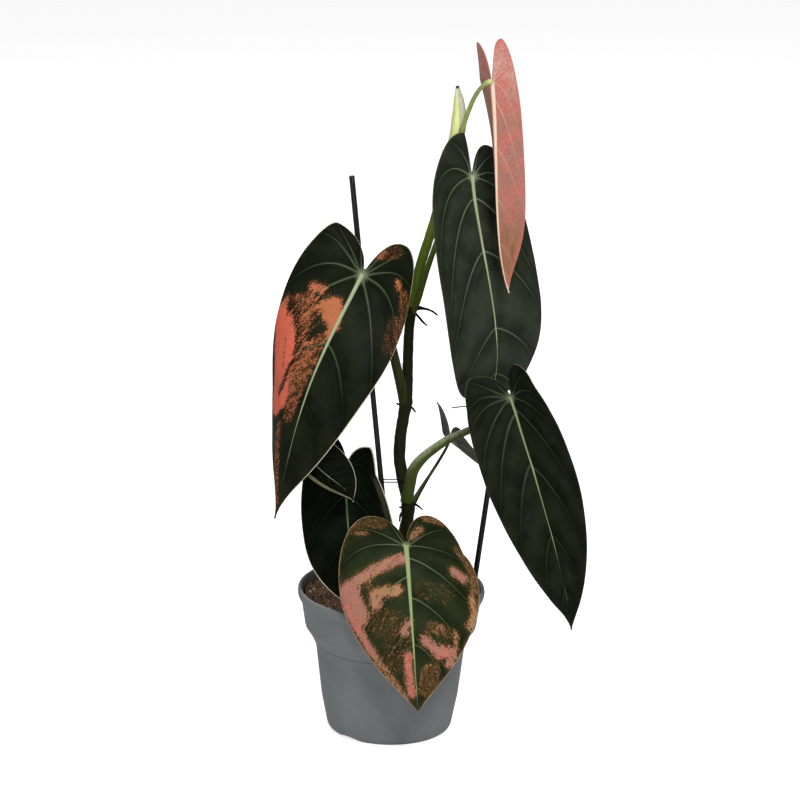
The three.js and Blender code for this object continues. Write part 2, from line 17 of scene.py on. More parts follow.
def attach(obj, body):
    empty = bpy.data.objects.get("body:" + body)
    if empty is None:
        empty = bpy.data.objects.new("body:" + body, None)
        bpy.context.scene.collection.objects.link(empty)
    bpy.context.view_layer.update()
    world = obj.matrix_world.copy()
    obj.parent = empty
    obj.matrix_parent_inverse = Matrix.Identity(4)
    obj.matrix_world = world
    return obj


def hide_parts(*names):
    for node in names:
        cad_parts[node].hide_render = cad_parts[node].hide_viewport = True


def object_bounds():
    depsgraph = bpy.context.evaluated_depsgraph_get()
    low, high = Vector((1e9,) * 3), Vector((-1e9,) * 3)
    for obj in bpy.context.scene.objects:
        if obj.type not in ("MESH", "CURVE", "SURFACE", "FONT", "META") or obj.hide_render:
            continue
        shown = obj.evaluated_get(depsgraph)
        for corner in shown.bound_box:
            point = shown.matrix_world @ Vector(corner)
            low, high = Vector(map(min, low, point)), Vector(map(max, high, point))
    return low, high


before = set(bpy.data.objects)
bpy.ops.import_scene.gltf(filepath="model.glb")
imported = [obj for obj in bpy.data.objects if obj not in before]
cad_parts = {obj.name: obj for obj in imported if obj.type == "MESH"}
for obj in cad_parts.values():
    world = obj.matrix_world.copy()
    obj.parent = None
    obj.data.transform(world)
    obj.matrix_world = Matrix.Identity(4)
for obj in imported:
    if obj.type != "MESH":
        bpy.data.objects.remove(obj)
cad_bounds = [list(corner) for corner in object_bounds()]
MM = 0.001


def keep_inside(points):
    """Squeeze a piece by the hair's breadth that it would stand out of the solid model's box."""
    low, high = points.min(axis=0), points.max(axis=0)
    new_low, new_high = np.maximum(low, cad_bounds[0]), np.minimum(high, cad_bounds[1])
    return new_low + (points - low) * (new_high - new_low) / (high - low)


print("CAD nodes:", len(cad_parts))

# %% [markdown]
# ## Small tools
#
# A photograph's colours are stored for the eye, but a renderer adds light, so a colour has to be
# made linear before it goes on a shader socket. `rgb` does that for 0 to 255 values. `Nodes` is a
# thin wrapper that keeps material recipes short: each method adds one node and returns its output.

# %% Colour and node helpers
def rgb(r, g, b):
    def linear(c):
        c = c / 255
        return c / 12.92 if c <= 0.04045 else ((c + 0.055) / 1.055) ** 2.4
    return (linear(r), linear(g), linear(b), 1.0)


def shaded(colour, r, g, b):
    """The colour with its red, green and blue light made weaker or stronger."""
    return (colour[0] * r, colour[1] * g, colour[2] * b, 1.0)


def fill(socket, value):
    """Link an output to the socket, or set the socket to a plain value."""
    if isinstance(value, bpy.types.NodeSocket):
        socket.id_data.links.new(value, socket)
    else:
        socket.default_value = value


class Nodes:
    def __init__(self, name):
        self.material = bpy.data.materials.new(name)
        self.material.use_nodes = True
        self.tree = self.material.node_tree
        self.tree.nodes.clear()
        self.shader = self.new("BsdfPrincipled")
        fill(self.new("OutputMaterial").inputs["Surface"], self.shader.outputs[0])

    def new(self, kind, *values, **settings):
        """A node whose inputs are filled or linked in order; None leaves an input alone."""
        node = self.tree.nodes.new("ShaderNode" + kind)
        for key, value in settings.items():
            setattr(node, key, value)
        for socket, value in zip(node.inputs, values):
            if value is not None:
                fill(socket, value)
        return node

    def set(self, **inputs):
        """Fill inputs of the shader, with _ for a space in their names; returns the material."""
        for key, value in inputs.items():
            fill(self.shader.inputs[key.replace("_", " ")], value)
        return self.material

    def math(self, operation, *values):
        return self.new("Math", *values, operation=operation).outputs[0]

    def times(self, a, b):
        return self.math("MULTIPLY", a, b)

    def plus(self, a, b):
        return self.math("ADD", a, b)

    def minus(self, a, b):
        return self.math("SUBTRACT", a, b)

    def swing(self, value, reach, middle=0.0):
        """The middle moved down or up by half the reach, as value goes from 0 to 1."""
        return self.math("MULTIPLY_ADD", self.minus(value, 0.5), reach, middle)

    def mix(self, factor, a, b, amount=1.0):
        """Colour a where factor is 0, and b laid over it where factor is 1."""
        if amount != 1.0:
            factor = self.times(factor, amount)
        # the two colours of a Mix node come after five inputs for numbers and vectors
        return self.new("Mix", factor, *[None] * 5, a, b, data_type="RGBA").outputs[2]

    def step(self, value, low, high):
        """0 below low, 1 above high, smooth between; low above high turns it round."""
        down = low > high
        return self.new("MapRange", value, min(low, high), max(low, high), float(down),
                        float(not down), interpolation_type="SMOOTHSTEP").outputs[0]

    def attribute(self, name, output="Fac"):
        return self.new("Attribute", attribute_name=name).outputs[output]

    def place(self):
        return self.new("TexCoord").outputs["Object"]

    def split(self, vector):
        return self.new("SeparateXYZ", vector).outputs

    def scaled(self, vector, scale):
        return self.new("Mapping", vector, None, None, scale).outputs[0]

    def noise(self, vector, scale, detail=3.0, roughness=0.55):
        return self.new("TexNoise", vector, None, scale, detail, roughness).outputs[0]

    def voronoi(self, vector, scale):
        return self.new("TexVoronoi", vector, None, scale).outputs[0]

    def bump(self, height, distance, strength):
        node = self.new("Bump", strength, distance)
        fill(node.inputs["Height"], height)
        fill(self.shader.inputs["Normal"], node.outputs[0])


# %% Mesh helpers
def add_object(name, data):
    obj = bpy.data.objects.new(name, data)
    bpy.context.scene.collection.objects.link(obj)
    return obj


def from_edit(name, edit):
    """An object whose mesh is the one being edited."""
    mesh = bpy.data.meshes.new(name)
    edit.to_mesh(mesh)
    edit.free()
    return add_object(name, mesh)


def grid_faces(rows, columns, start=0, ring_rows=False, ring_columns=False):
    """The quads between points stored row by row; a ring is closed on itself."""
    def pairs(count, ring):
        return [(i, (i + 1) % count) for i in range(count if ring else count - 1)]
    return [[start + row * columns + column for row, column in ((i, j), (i, l), (k, l), (k, j))]
            for i, k in pairs(rows, ring_rows) for j, l in pairs(columns, ring_columns)]


def new_object(name, vertices, faces, material, attributes={}, merge=0.0):
    """A smooth mesh object at the origin, with float or vector values on its points."""
    mesh = bpy.data.meshes.new(name)
    mesh.from_pydata([tuple(v) for v in vertices], [], [tuple(int(i) for i in f) for f in faces])
    for key, values in attributes.items():
        values = np.asarray(values, dtype=np.float32)
        kind, field = ("FLOAT_VECTOR", "vector") if values.ndim == 2 else ("FLOAT", "value")
        mesh.attributes.new(key, kind, "POINT").data.foreach_set(field, values.ravel())
    if merge:
        edit = bmesh.new()
        edit.from_mesh(mesh)
        bmesh.ops.remove_doubles(edit, verts=edit.verts, dist=merge)
        bmesh.ops.recalc_face_normals(edit, faces=edit.faces)
        edit.to_mesh(mesh)
        edit.free()
    mesh.polygons.foreach_set("use_smooth", [True] * len(mesh.polygons))
    mesh.materials.append(material)
    mesh.update()
    return add_object(name, mesh)


def finish_piece(obj, slot, *nodes):
    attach(obj, "root")
    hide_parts(*nodes)


# %% [markdown]
# ## How a leaf is drawn
#
# A melanochrysum leaf is a long heart. Every blade here follows one recipe with its own numbers.
# The two halves are drawn flat first: three Bezier pieces run from the cleft round the lobe to the
# widest point and on to the tip. The flat halves are then hung on a midrib curve in space, turned
# about it, folded up or down from it, and curled along their width.
#
# Rows of the mesh run from the midrib to the margin the way the side veins do. That choice pays
# off later: a vein is simply a row, so its groove and its pale colour can be exactly where the
# mesh has points.

# %% Leaf numbers: the same driving numbers as the solid model
LEAVES = {
    "leaf_new": dict(
        mid=[(70, -40, 540), (77, -42, 479), (73, -48, 415), (87, -42, 375)], half=(22, 26),
        widest=0.5, full=0.5, back=(33, 30), out=(13, 16), sinus=11, lean=-0.9,
        turn=(206, 230, 210), fold=(43, 34), curl=(3, 15), edge=(0, 0)),
    "leaf_top": dict(
        mid=[(57, -16, 460), (61, -34, 410), (98, -27, 304), (68, 8, 268.5)], half=(53, 52),
        widest=0.52, full=0.72, back=(34, 25), out=(7, 15), sinus=8, lean=0,
        turn=(-7, -12, -8), fold=(28, -8), curl=(14, -45), edge=(0, 0)),
    "leaf_left": dict(
        mid=[(-27, -34, 385), (-66, -64, 311), (-73, -71, 293), (-92, -52, 192)], half=(55, 50),
        widest=0.3, full=0.65, back=(28, 37), out=(34, 23), sinus=8, lean=-0.5,
        turn=(-31, 16, 7), fold=(-12, 18), curl=(-53, 0), edge=(0, 0)),
    "leaf_right": dict(
        mid=[(91, -44, 291), (110, -64, 238), (138, -73, 148), (143, -56, 106)], half=(40, 43),
        widest=0.23, full=0.47, back=(24, 23), out=(25, 17), sinus=8, lean=-0.2,
        turn=(25, 8, 12), fold=(22, 26), curl=(6, 4), edge=(0, 0)),
    "leaf_front": dict(
        mid=[(11, -60, 173), (15, -86, 145), (20, -94, 78), (23, -92, 46)], half=(56, 58),
        widest=0.28, full=0.45, back=(28, 30), out=(27, 24), sinus=8, lean=-0.2,
        turn=(-15, 5, 2), fold=(2, -3), curl=(-25, -34), edge=(0, 0)),
    "leaf_low_left": dict(
        mid=[(-37, -18, 224), (-39, -41, 184), (-26, -50, 135), (-26, -54, 114)], half=(37, 39.5),
        widest=0.42, full=0.55, back=(26, 20), out=(24, 25), sinus=5, lean=0.5,
        turn=(-33, -2, 6), fold=(4, -7), curl=(-36, -37), edge=(0, 113)),
    "leaf_small_left": dict(
        mid=[(-73, -44, 255), (-62, -53, 225), (-38, -54, 225), (-31, -48, 205)], half=(19, 22),
        widest=0.38, full=0.64, back=(14, 14), out=(10, 10), sinus=10, lean=0,
        turn=(-3, -19, -20), fold=(31, 10), curl=(33, -14), edge=(110, 0)),
    "leaf_small_right": dict(
        mid=[(45, 10, 242), (46, 14, 231), (79, 23, 209.5), (94, 30, 190.5)], half=(15, 10.5),
        widest=0.4, full=0.55, back=(11, 31), out=(7, 12.5), sinus=8, lean=-0.43,
        turn=(195, 220, 206), fold=(0, 44), curl=(-28, -11), edge=(0, 0)),
}
ROUND = 0.5523             # handle length that makes a Bezier piece a quarter of an ellipse
VEIN_SWEEP = 1.3           # above 1, a row bends forward on its way out
FIRST_SIDE_VEIN = 0.28     # rows that end nearer the stalk than this share start at the stalk
LOBE, WIDEST = 0.2, 0.6    # shares of the outline at the back of the lobe and the widest point
USUAL_LENGTH = 200         # midrib in mm of the leaf that details are scaled from


def unit(vectors):
    return vectors / np.maximum(np.linalg.norm(vectors, axis=-1, keepdims=True), 1e-9)


def bezier(points, t):
    t = np.asarray(t, float)[..., None]
    p = [np.asarray(q, float) for q in points]
    return (1 - t)**3 * p[0] + 3 * (1 - t)**2 * t * p[1] + 3 * (1 - t) * t * t * p[2] + t**3 * p[3]


def bezier_tangent(points, t):
    t = np.asarray(t, float)[..., None]
    p = [np.asarray(q, float) for q in points]
    return unit((1 - t)**2 * (p[1] - p[0]) + 2 * (1 - t) * t * (p[2] - p[1])
                + t * t * (p[3] - p[2]))


def outline(leaf, q, side):
    """Flat half outline: distance along the midrib and away from it, q from cleft to tip."""
    i = 0 if side < 0 else 1
    length, half, back, out = leaf["length"], leaf["half"][i], leaf["back"][i], leaf["out"][i]
    sinus = math.radians(leaf["sinus"])
    base, lobe = np.array([0, 0.0]), np.array([-back, out])
    wide, tip = np.array([leaf["widest"] * length, half]), np.array([length, 0.0])
    pieces = [
        [base, 0.55 * back * np.array([-math.cos(sinus), math.sin(sinus)]),
         lobe - (0, ROUND * out), lobe],
        [lobe, lobe + (0, 1.1 * ROUND * (half - out)), wide - (ROUND * (wide[0] + back), 0), wide],
        [wide, wide + (leaf["full"] * (length - wide[0]), 0),
         tip + (-0.16 * (length - wide[0]), 0.06 * half), tip]]
    q = np.atleast_1d(np.asarray(q, float))
    result = np.zeros((len(q), 2))
    for piece, low, high in zip(pieces, (0, LOBE, WIDEST), (LOBE, WIDEST, 1.0001)):
        inside = (q >= low) & (q < high)
        result[inside] = bezier(piece, (q[inside] - low) / (min(high, 1) - low))
    return result


def vein_foot(leaf, q):
    """Where on the midrib the row q starts."""
    reach = (outline(leaf, q, -1)[:, 0] + outline(leaf, q, 1)[:, 0]) / 2 / leaf["length"]
    share = np.maximum(0, (np.maximum(reach, 0) - FIRST_SIDE_VEIN) / (1 - FIRST_SIDE_VEIN))
    return leaf["length"] * share**1.15


def blade_frame(leaf, b):
    """Centre, sideways and upward directions at a distance b along the midrib."""
    t = np.clip(b / leaf["length"], 0, 1)
    centre, along = bezier(leaf["mid"], t), bezier_tangent(leaf["mid"], t)
    across = unit(np.cross(np.array([0, -1.0, 0]), along))
    up = np.cross(along, across)
    first, middle, last = leaf["turn"]
    turn = np.radians(first + (last - first) * t + (middle - (first + last) / 2) * 4 * t * (1 - t))
    turn = turn[..., None]
    turned_across = across * np.cos(turn) + up * np.sin(turn)
    turned_up = up * np.cos(turn) - across * np.sin(turn)
    behind = np.minimum(b, 0)[..., None]
    centre = centre + along * behind + turned_up * leaf["lean"] * behind**2 / leaf["length"]
    return centre, turned_across, turned_up


def half_section(leaf, side, v):
    """Sideways and upward shares of a half's flat width at v."""
    i = 0 if side < 0 else 1
    steps = 120
    mid = (np.arange(steps) + 0.5) / steps
    rolled = np.maximum(0, (mid - 0.6) / 0.4)**2
    angle = np.radians(leaf["fold"][i] + leaf["curl"][i] * mid + leaf["edge"][i] * rolled)
    grid = np.linspace(0, 1, steps + 1)
    across = np.concatenate([[0], np.cumsum(np.cos(angle)) / steps])
    up = np.concatenate([[0], np.cumsum(np.sin(angle)) / steps])
    return np.interp(v, grid, across), np.interp(v, grid, up)


for leaf in LEAVES.values():
    line = bezier(leaf["mid"], np.linspace(0, 1, 400))
    leaf["length"] = float(np.linalg.norm(np.diff(line, axis=0), axis=1).sum())
    leaf["scale"] = leaf["length"] / USUAL_LENGTH
print("blade lengths, mm:", {k: round(v["length"]) for k, v in LEAVES.items()})

# %% [markdown]
# ## From recipe to blade
#
# The sheet gets a body: an upper face, a lower face and a rounded margin, about 0.7 mm apart. On
# the real leaf the side veins lie in shallow grooves and the tissue between them swells, which is
# what makes the velvet catch the light in soft bands. The midrib stands out below as a keel and
# shows above as a low ridge.
#
# A row starts at a share q of the outline and drifts towards the tip on its way out, because real
# side veins swing forward near the margin. Veins that start at the stalk swing most.
#
# Points also carry numbers for the material: how far they are from the nearest side vein, the
# midrib, the margin and the stalk, how pale the leaf is there, and which hue the pale part has.

# %% Rows, columns and marking fields
THICKNESS = 0.7
VEIN, GROOVE, KEEL, RIDGE = 0.5, 7.5, 1.4, 0.35    # mm on a leaf of the usual length
ROWS_BETWEEN_VEINS = 11
FIRST_ROW = 0.015
FLAT_UNIT = 100    # the place on the flat leaf is stored in units of 100 mm
DRIFT = [(0, 0), (0.1, 0.03), (0.3, 0.13), (0.45, 0.1), (0.6, 0.03), (0.8, 0.04), (1, 0)]


def leaf_rows(veins):
    marks = [FIRST_ROW, *veins, 1.0]
    rows = [np.linspace(a, b, max(3, round(ROWS_BETWEEN_VEINS * min(1, (b - a) / 0.1))),
                        endpoint=False) for a, b in zip(marks, marks[1:])]
    return np.append(np.concatenate(rows), 1.0)


def leaf_columns():
    near = [0, 0.006, 0.014, 0.025, 0.04, 0.06]
    return np.concatenate([near, np.linspace(0.09, 0.97, 26), [0.985, 1.0]])


def flat_place(leaf, side, q, v):
    """Where the row that starts at q is at v: along the midrib, away from it, and its reach."""
    q = q + np.interp(q, *zip(*DRIFT)) * v**2
    rim = outline(leaf, q.ravel(), side).reshape(*q.shape, 2)
    foot = vein_foot(leaf, q.ravel()).reshape(q.shape)
    return foot + (rim[..., 0] - foot) * v**VEIN_SWEEP, rim[..., 1] * v, rim[..., 1]


def paint(points, strokes):
    """How far inside the pale tissue each point is, in mm, and its hue, from brush strokes.

    A stroke is (strength, hue, radius, (b, a), (b, a), ...) on the flat blade. A strong stroke
    is solid pale tissue. A weak one leaves the choice between pale and green to the noise in
    the material, which gives a mottle. A stroke without a hue carves green back out.
    """
    pale, hue = np.full(len(points), -12.0), np.full(len(points), 0.5)
    for strength, tint, radius, *path in strokes:
        distance = np.full(len(points), 1e9)
        for p, q in zip(path, path[1:]):
            p, q = np.array(p, float), np.array(q, float)
            t = np.clip((points - p) @ (q - p) / max((q - p) @ (q - p), 1e-9), 0, 1)
            distance = np.minimum(distance, np.linalg.norm(points - p - t[:, None] * (q - p),
                                                           axis=1))
        inside = radius - distance
        if tint is not None:
            pale = np.maximum(pale, np.minimum(strength, inside))
            weight = np.clip(inside / 4 + 0.5, 0, 1)
            hue = hue * (1 - weight) + tint * weight
        else:
            pale = np.minimum(pale, np.maximum(strength, -inside))
    return pale, hue


# %% From the flat leaf to a blade with a body
def leaf_sheet(leaf, side, veins, rows, columns, quilt, ripple, seed):
    """The middle surface of one half, and where its points lie on the flat leaf."""
    b, a, reach = flat_place(leaf, side, rows[:, None], columns[None, :])
    distance = np.full(b.shape, 1e9)    # to the nearest side vein, on the flat leaf
    for vein in veins:
        vein_b, vein_a, _ = flat_place(leaf, side, vein, np.linspace(0, 0.97, 80))
        distance = np.minimum(distance, np.hypot(b[..., None] - vein_b,
                                                 a[..., None] - vein_a).min(axis=-1))
        distance[np.isclose(rows, vein)] = 0
    swell = 1 - np.exp(-(distance / (GROOVE * leaf["scale"]))**2)
    mound = quilt * swell * np.sqrt(np.clip(columns * (1.02 - columns) * 4, 0, 1))
    wave = ripple * np.sin(rows[:, None] * 31 + seed + side) * columns**3
    across, up = half_section(leaf, side, columns)
    centre, sideways, upward = blade_frame(leaf, b)
    points = centre + sideways * (side * reach * across)[..., None]
    points += upward * (reach * up + (mound + wave))[..., None]
    outwards = np.gradient(points, axis=1)
    normal = unit(np.cross(np.gradient(points, axis=0), outwards) * side)
    normal[-1] = normal[-2]
    outwards = unit(outwards[:, -1])
    outwards[-1] = 0
    return dict(points=points, normal=normal, outwards=outwards, b=b, a=a * side, lateral=distance)


def skin(grid, margin=None):
    """A value for each point of the upper face, of the lower face and of the margin."""
    both = grid.reshape(-1, *grid.shape[2:])
    return np.concatenate([both, both, grid[:, -1] if margin is None
                           else np.full(len(grid), margin)])


def build_leaf(name, material, veins, strokes, quilt, ripple, midrib, seed):
    leaf = LEAVES[name]
    length, scale, half = leaf["length"], leaf["scale"], THICKNESS / 2
    rows, columns = leaf_rows(sorted({*veins[0], *veins[1]})), leaf_columns()
    n, m = len(rows), len(columns)
    sheets = {side: leaf_sheet(leaf, side, own, rows, columns, quilt * scale, ripple * scale, seed)
              for side, own in zip((-1, 1), veins)}
    # the two halves share the midrib, so they share its normals too
    shared = sheets[-1]["normal"][:, 2] + sheets[1]["normal"][:, 2]
    shared[vein_foot(leaf, rows) == 0] = blade_frame(leaf, np.zeros(1))[2][0]
    shared = unit(shared)
    for sheet in sheets.values():
        for column, share in enumerate((1.0, 0.7, 0.4)):
            own = sheet["normal"][:, column]
            sheet["normal"][:, column] = unit(shared * share + own * (1 - share))
    vertices, faces, data = [], [], {}
    for side, sheet in sheets.items():
        b, a, points, normal = (sheet[key] for key in ("b", "a", "points", "normal"))
        rib = np.where(b > 0, np.abs(a), np.hypot(a, b))
        along = np.clip(b / length, 0, 1)
        width = midrib * scale * (2.0 * (1 - along)**1.6 + 0.35)
        keel = KEEL * scale * (1.1 - along) * np.exp(-(rib / (1.1 * width))**2)
        ridge = RIDGE * scale * np.exp(-(rib / (0.7 * width))**2)
        top = sum(len(v) for v in vertices)
        low, edge = top + n * m, top + 2 * n * m
        vertices += [(points + normal * (half + ridge)[..., None]).reshape(-1, 3),
                     (points - normal * (half + keel)[..., None]).reshape(-1, 3),
                     points[:, -1] + sheet["outwards"] * half]
        lane = np.broadcast_arrays(rows[:, None] * 3 + side, columns, np.zeros((n, m)))
        for key, values in {
                "lateral": skin(sheet["lateral"] / (VEIN * scale + 0.12), 9.0),
                "rib": skin(rib / width),
                "rim": skin(np.linalg.norm(points[:, -1:] - points, axis=-1), -half),
                "hub": skin(np.hypot(a, b) / scale),
                "upper": np.repeat([1.0, 0.0, 0.5], [n * m, n * m, n]),
                "v": skin(lane[1]),
                "along": skin(along),
                "flat": skin(np.stack([b, a, lane[2]], -1)),
                "lane": skin(np.stack(lane, -1))}.items():
            data.setdefault(key, []).append(values)
        half_faces = grid_faces(n, m, top) + [face[::-1] for face in grid_faces(n, m, low)]
        for i in range(n - 1):
            here, ahead = i * m + m - 1, (i + 1) * m + m - 1
            half_faces += [[top + here, edge + i, edge + i + 1, top + ahead],
                           [edge + i, low + here, low + ahead, edge + i + 1]]
        half_faces += [[top + j, low + j, low + j + 1, top + j + 1] for j in range(m - 1)]
        half_faces.append([top + m - 1, low + m - 1, edge])
        faces += half_faces if side < 0 else [face[::-1] for face in half_faces]
    attributes = {key: np.concatenate(values) for key, values in data.items()}
    attributes["pale"], attributes["hue"] = paint(attributes["flat"][:, :2], strokes)
    attributes["flat"] = attributes["flat"] / FLAT_UNIT
    points = keep_inside(np.concatenate(vertices) * MM)
    return new_object(name + "_blade", points, faces, material, attributes, merge=1.2e-5)


# %% [markdown]
# ## Velvet, veins and marbling
#
# The dark leaves are almost black green, with a bloom of light where the surface turns away from
# us. A velvet leaf has tiny domed cells; the Sheen of the Principled shader gives the same pale
# rim without modelling them. Veins are drawn from the distances stored on the mesh, so they stay
# crisp and taper as real ones do.
#
# The marbling of a variegated leaf follows cell lines that run out along the veins, and its
# borders are ragged. So each marking is a soft field on the mesh that says roughly where the pale
# tissue lies, and streaky noise, stretched along the veins, decides the exact border.

# %% Leaf materials
def leaf_material(name, dark, light, vein, under, under_vein, rib=None, margin=None,
                  margin_width=0.12, marks=None, under_marks=None, vein_strength=0.75, halo=0.16,
                  fade=0.5, sheen=0.02, specular=0.04, rough=0.5):
    n = Nodes(name)
    flat, lane = n.attribute("flat", "Vector"), n.attribute("lane", "Vector")
    lateral, ribs, v, along = (n.attribute(key) for key in ("lateral", "rib", "v", "along"))
    cloud = n.noise(flat, 6.0, 4.0)
    streaks = n.noise(n.scaled(lane, (14.0, 2.2, 1.0)), 3.0, 5.0, 0.65)
    hair_grain_and_sheen = n.noise(n.scaled(lane, (24.0, 3.0, 1.0)), 3.0, 4.0, 0.7)
    colour = n.mix(n.step(cloud, 0.35, 0.68), dark, light)
    # painted sheen: fine light streaks that run out along the veins, partly the velvet's own grain
    colour = n.mix(n.step(hair_grain_and_sheen, 0.45, 0.75), colour, light, 0.6)
    # painted shade darkens the grooves that hold the veins, and painted light brightens the
    # swollen tissue between them
    colour = n.mix(n.step(lateral, 9.0, 1.5), colour, shaded(dark, 0.5, 0.75, 0.4), 0.6)
    colour = n.mix(n.step(lateral, 9.0, 26.0), colour, shaded(light, 1.35, 1.35, 1.35), 0.6)
    if marks:
        colour = marks(n, colour, flat, streaks)
    # side veins grow faint towards the margin and towards the tip
    faint = n.times(n.minus(1.0, n.times(n.step(along, 0.1, 0.65), fade)), n.step(v, 1.2, 0.05))
    line = n.times(n.times(n.step(lateral, 0.75, 0.3), faint), vein_strength)
    glow = n.times(n.times(n.step(lateral, 3.0, 0.3), faint), halo)
    glow = n.times(glow, n.step(v, 0.9, 0.0))
    colour = n.mix(n.math("MAXIMUM", line, glow), colour, vein)
    # the veins run together where the stalk joins the blade
    spread = n.plus(n.attribute("hub"), n.times(cloud, 4.0))
    colour = n.mix(n.step(spread, 9.0, 2.5), colour, vein, 0.8)
    rib_line = n.times(n.step(ribs, 1.0, 0.5),
                       n.minus(1.0, n.times(n.step(along, 0.5, 1.0), fade)))
    colour = n.mix(rib_line, colour, rib or vein)
    if margin:
        edge = n.step(n.attribute("rim"), margin_width + 0.25, margin_width)
        colour = n.mix(edge, colour, margin)
    below = n.mix(n.step(n.noise(flat, 9.0, 5.0), 0.3, 0.7), under,
                  shaded(under, 0.75, 0.75, 0.75))
    if under_marks:
        below = under_marks(n, below, flat, hair_grain_and_sheen)
    below = n.mix(n.math("MAXIMUM", line, n.step(ribs, 1.1, 0.6)), below, under_vein)
    cells = n.times(n.voronoi(flat, 90.0), 0.5)
    n.bump(n.plus(n.plus(cells, n.noise(flat, 40.0, 4.0)), hair_grain_and_sheen), 0.00015, 0.6)
    return n.set(Base_Color=n.mix(n.attribute("upper"), below, colour), Roughness=rough,
                 Specular_IOR_Level=specular, Sheen_Weight=sheen, Sheen_Roughness=0.45,
                 Sheen_Tint=rgb(205, 215, 200))


def marbled(coral, pink, sand, brown, pepper, netting, fringe):
    """Pale sectors whose borders and inner specks come from streaks that follow the veins."""
    def marks(n, colour, flat, streaks):
        net = n.noise(n.scaled(n.attribute("lane", "Vector"), (34.0, 9.0, 1.0)), 3.0, 4.0, 0.7)
        hue = n.swing(n.noise(flat, 18.0, 5.0), 1.1, n.attribute("hue"))
        pale = n.mix(n.step(hue, 0.0, 0.25), brown, sand)
        pale = n.mix(n.step(hue, 0.35, 0.55), pale, pink)
        pale = n.mix(n.step(hue, 0.65, 0.95), pale, coral)
        speckles = n.math("MAXIMUM", n.step(net, 0.52, 0.64),
                          n.step(n.noise(flat, 110.0, 4.0, 0.7), 0.5, 0.62))
        pale = n.mix(speckles, pale, pepper, netting)
        # rust brown spots near the leaf's margin
        rust = n.times(n.step(n.attribute("rim"), fringe, 0.0),
                       n.step(n.noise(flat, 30.0, 5.0, 0.7), 0.42, 0.58))
        colour = n.mix(rust, colour, brown, 0.75)
        # the border of the pale tissue wanders by a few mm, with a brown fringe outside it
        wander = n.swing(net, 8.0, n.swing(streaks, 9.0))
        wander = n.swing(n.noise(flat, 70.0, 5.0, 0.75), 14.0, wander)
        depth = n.minus(n.plus(n.attribute("pale"), wander), 0.8)
        colour = n.mix(n.step(depth, -2.6, 0.2), colour, brown, 0.7)
        return n.mix(n.step(depth, 0.0, 0.7), colour, pale)
    return marks


def new_leaf_marks(n, below, flat, hair_grain_and_sheen):
    """Pink with redder and browner patches; tan and streaky near the tip, then almost white."""
    along = n.split(flat)[0]
    length = n.plus(along, n.times(hair_grain_and_sheen, 0.2))
    fibres = n.noise(n.scaled(flat, (5.0, 70.0, 1.0)), 1.0, 4.0, 0.7)
    near_tip = n.times(n.step(length, 0.9, 1.5), 0.6)
    for mask, colour, amount in (
            (n.step(along, -0.15, 0.3), rgb(148, 104, 92), 0.75),
            (n.step(n.noise(flat, 7.0, 3.0, 0.6), 0.46, 0.6), rgb(196, 108, 98), 0.6),
            (n.step(n.noise(flat, 45.0, 5.0, 0.75), 0.45, 0.58), rgb(136, 88, 74), 0.45),
            (n.step(length, 0.8, 1.5), rgb(140, 100, 70), 0.85),
            (n.times(n.step(fibres, 0.48, 0.62), near_tip), rgb(92, 58, 38), 1.0),
            (n.step(hair_grain_and_sheen, 0.5, 0.66), rgb(172, 94, 86), 0.4),
            (n.step(n.attribute("rim"), 7.0, 0.0), rgb(196, 104, 96), 0.45),
            (n.step(along, 1.56, 1.66), rgb(226, 206, 196), 1.0)):
        below = n.mix(mask, below, colour, amount)
    return below


def rolled_margin(n, colour, flat, streaks):
    """The right margin of the low leaf rolls forward and shows a dull olive strip."""
    along, across, _ = n.split(flat)
    strip = n.times(n.step(n.attribute("v"), 0.83, 0.87), n.step(across, 0.0, 0.02))
    strip = n.times(strip, n.step(along, 0.0, 0.1))
    return n.mix(strip, colour, n.mix(n.step(streaks, 0.4, 0.6), rgb(40, 38, 28),
                                      rgb(62, 60, 48)))


VELVET = dict(dark=rgb(17, 21, 12), light=rgb(30, 36, 25), vein=rgb(128, 136, 112),
              rib=rgb(158, 168, 132), under=rgb(62, 62, 48), under_vein=rgb(112, 114, 86),
              margin=rgb(98, 100, 72))


def velvet(name, **changes):
    """A leaf material that is the usual dark velvet but for a few changes."""
    return leaf_material(name, **{**VELVET, **changes})


mat_new = leaf_material(
    "new_leaf", dark=rgb(134, 64, 36), light=rgb(158, 82, 48), vein=rgb(206, 176, 140),
    under=rgb(208, 152, 140), under_vein=rgb(226, 200, 176), vein_strength=0.4, halo=0.05,
    sheen=0.05, rough=0.45, under_marks=new_leaf_marks)
mat_top = velvet("velvet_top_leaf", dark=rgb(32, 37, 28), light=rgb(46, 52, 41), fade=0.3)
mat_left = velvet(
    "marbled_left_leaf", light=rgb(26, 31, 19), vein=rgb(118, 130, 98),
    margin=rgb(206, 196, 166), margin_width=0.42, vein_strength=0.6, fade=0.95, marks=marbled(
        coral=rgb(226, 112, 88), pink=rgb(192, 112, 80), sand=rgb(176, 108, 70),
        brown=rgb(84, 54, 32), pepper=rgb(132, 58, 42), netting=0.25, fringe=1.5))
mat_right = velvet(
    "velvet_right_leaf", dark=rgb(18, 22, 13), light=rgb(29, 34, 22), vein=rgb(112, 120, 98),
    rib=rgb(140, 150, 110), vein_strength=0.42, fade=0.7)
mat_front = velvet(
    "marbled_front_leaf", dark=rgb(24, 31, 15), light=rgb(36, 44, 23), vein=rgb(134, 146, 106),
    rib=rgb(148, 164, 114), margin=rgb(200, 172, 132), margin_width=0.3, vein_strength=0.65,
    marks=marbled(
        coral=rgb(206, 118, 98), pink=rgb(172, 120, 104), sand=rgb(172, 130, 94),
        brown=rgb(104, 72, 40), pepper=rgb(116, 62, 50), netting=0.6, fringe=5.0))
mat_low = velvet(
    "velvet_low_leaf", dark=rgb(8, 11, 7), light=rgb(14, 19, 12), vein=rgb(44, 56, 36),
    rib=rgb(84, 100, 68), margin=rgb(220, 214, 192), margin_width=0.7, sheen=0.0, specular=0.01,
    marks=rolled_margin)
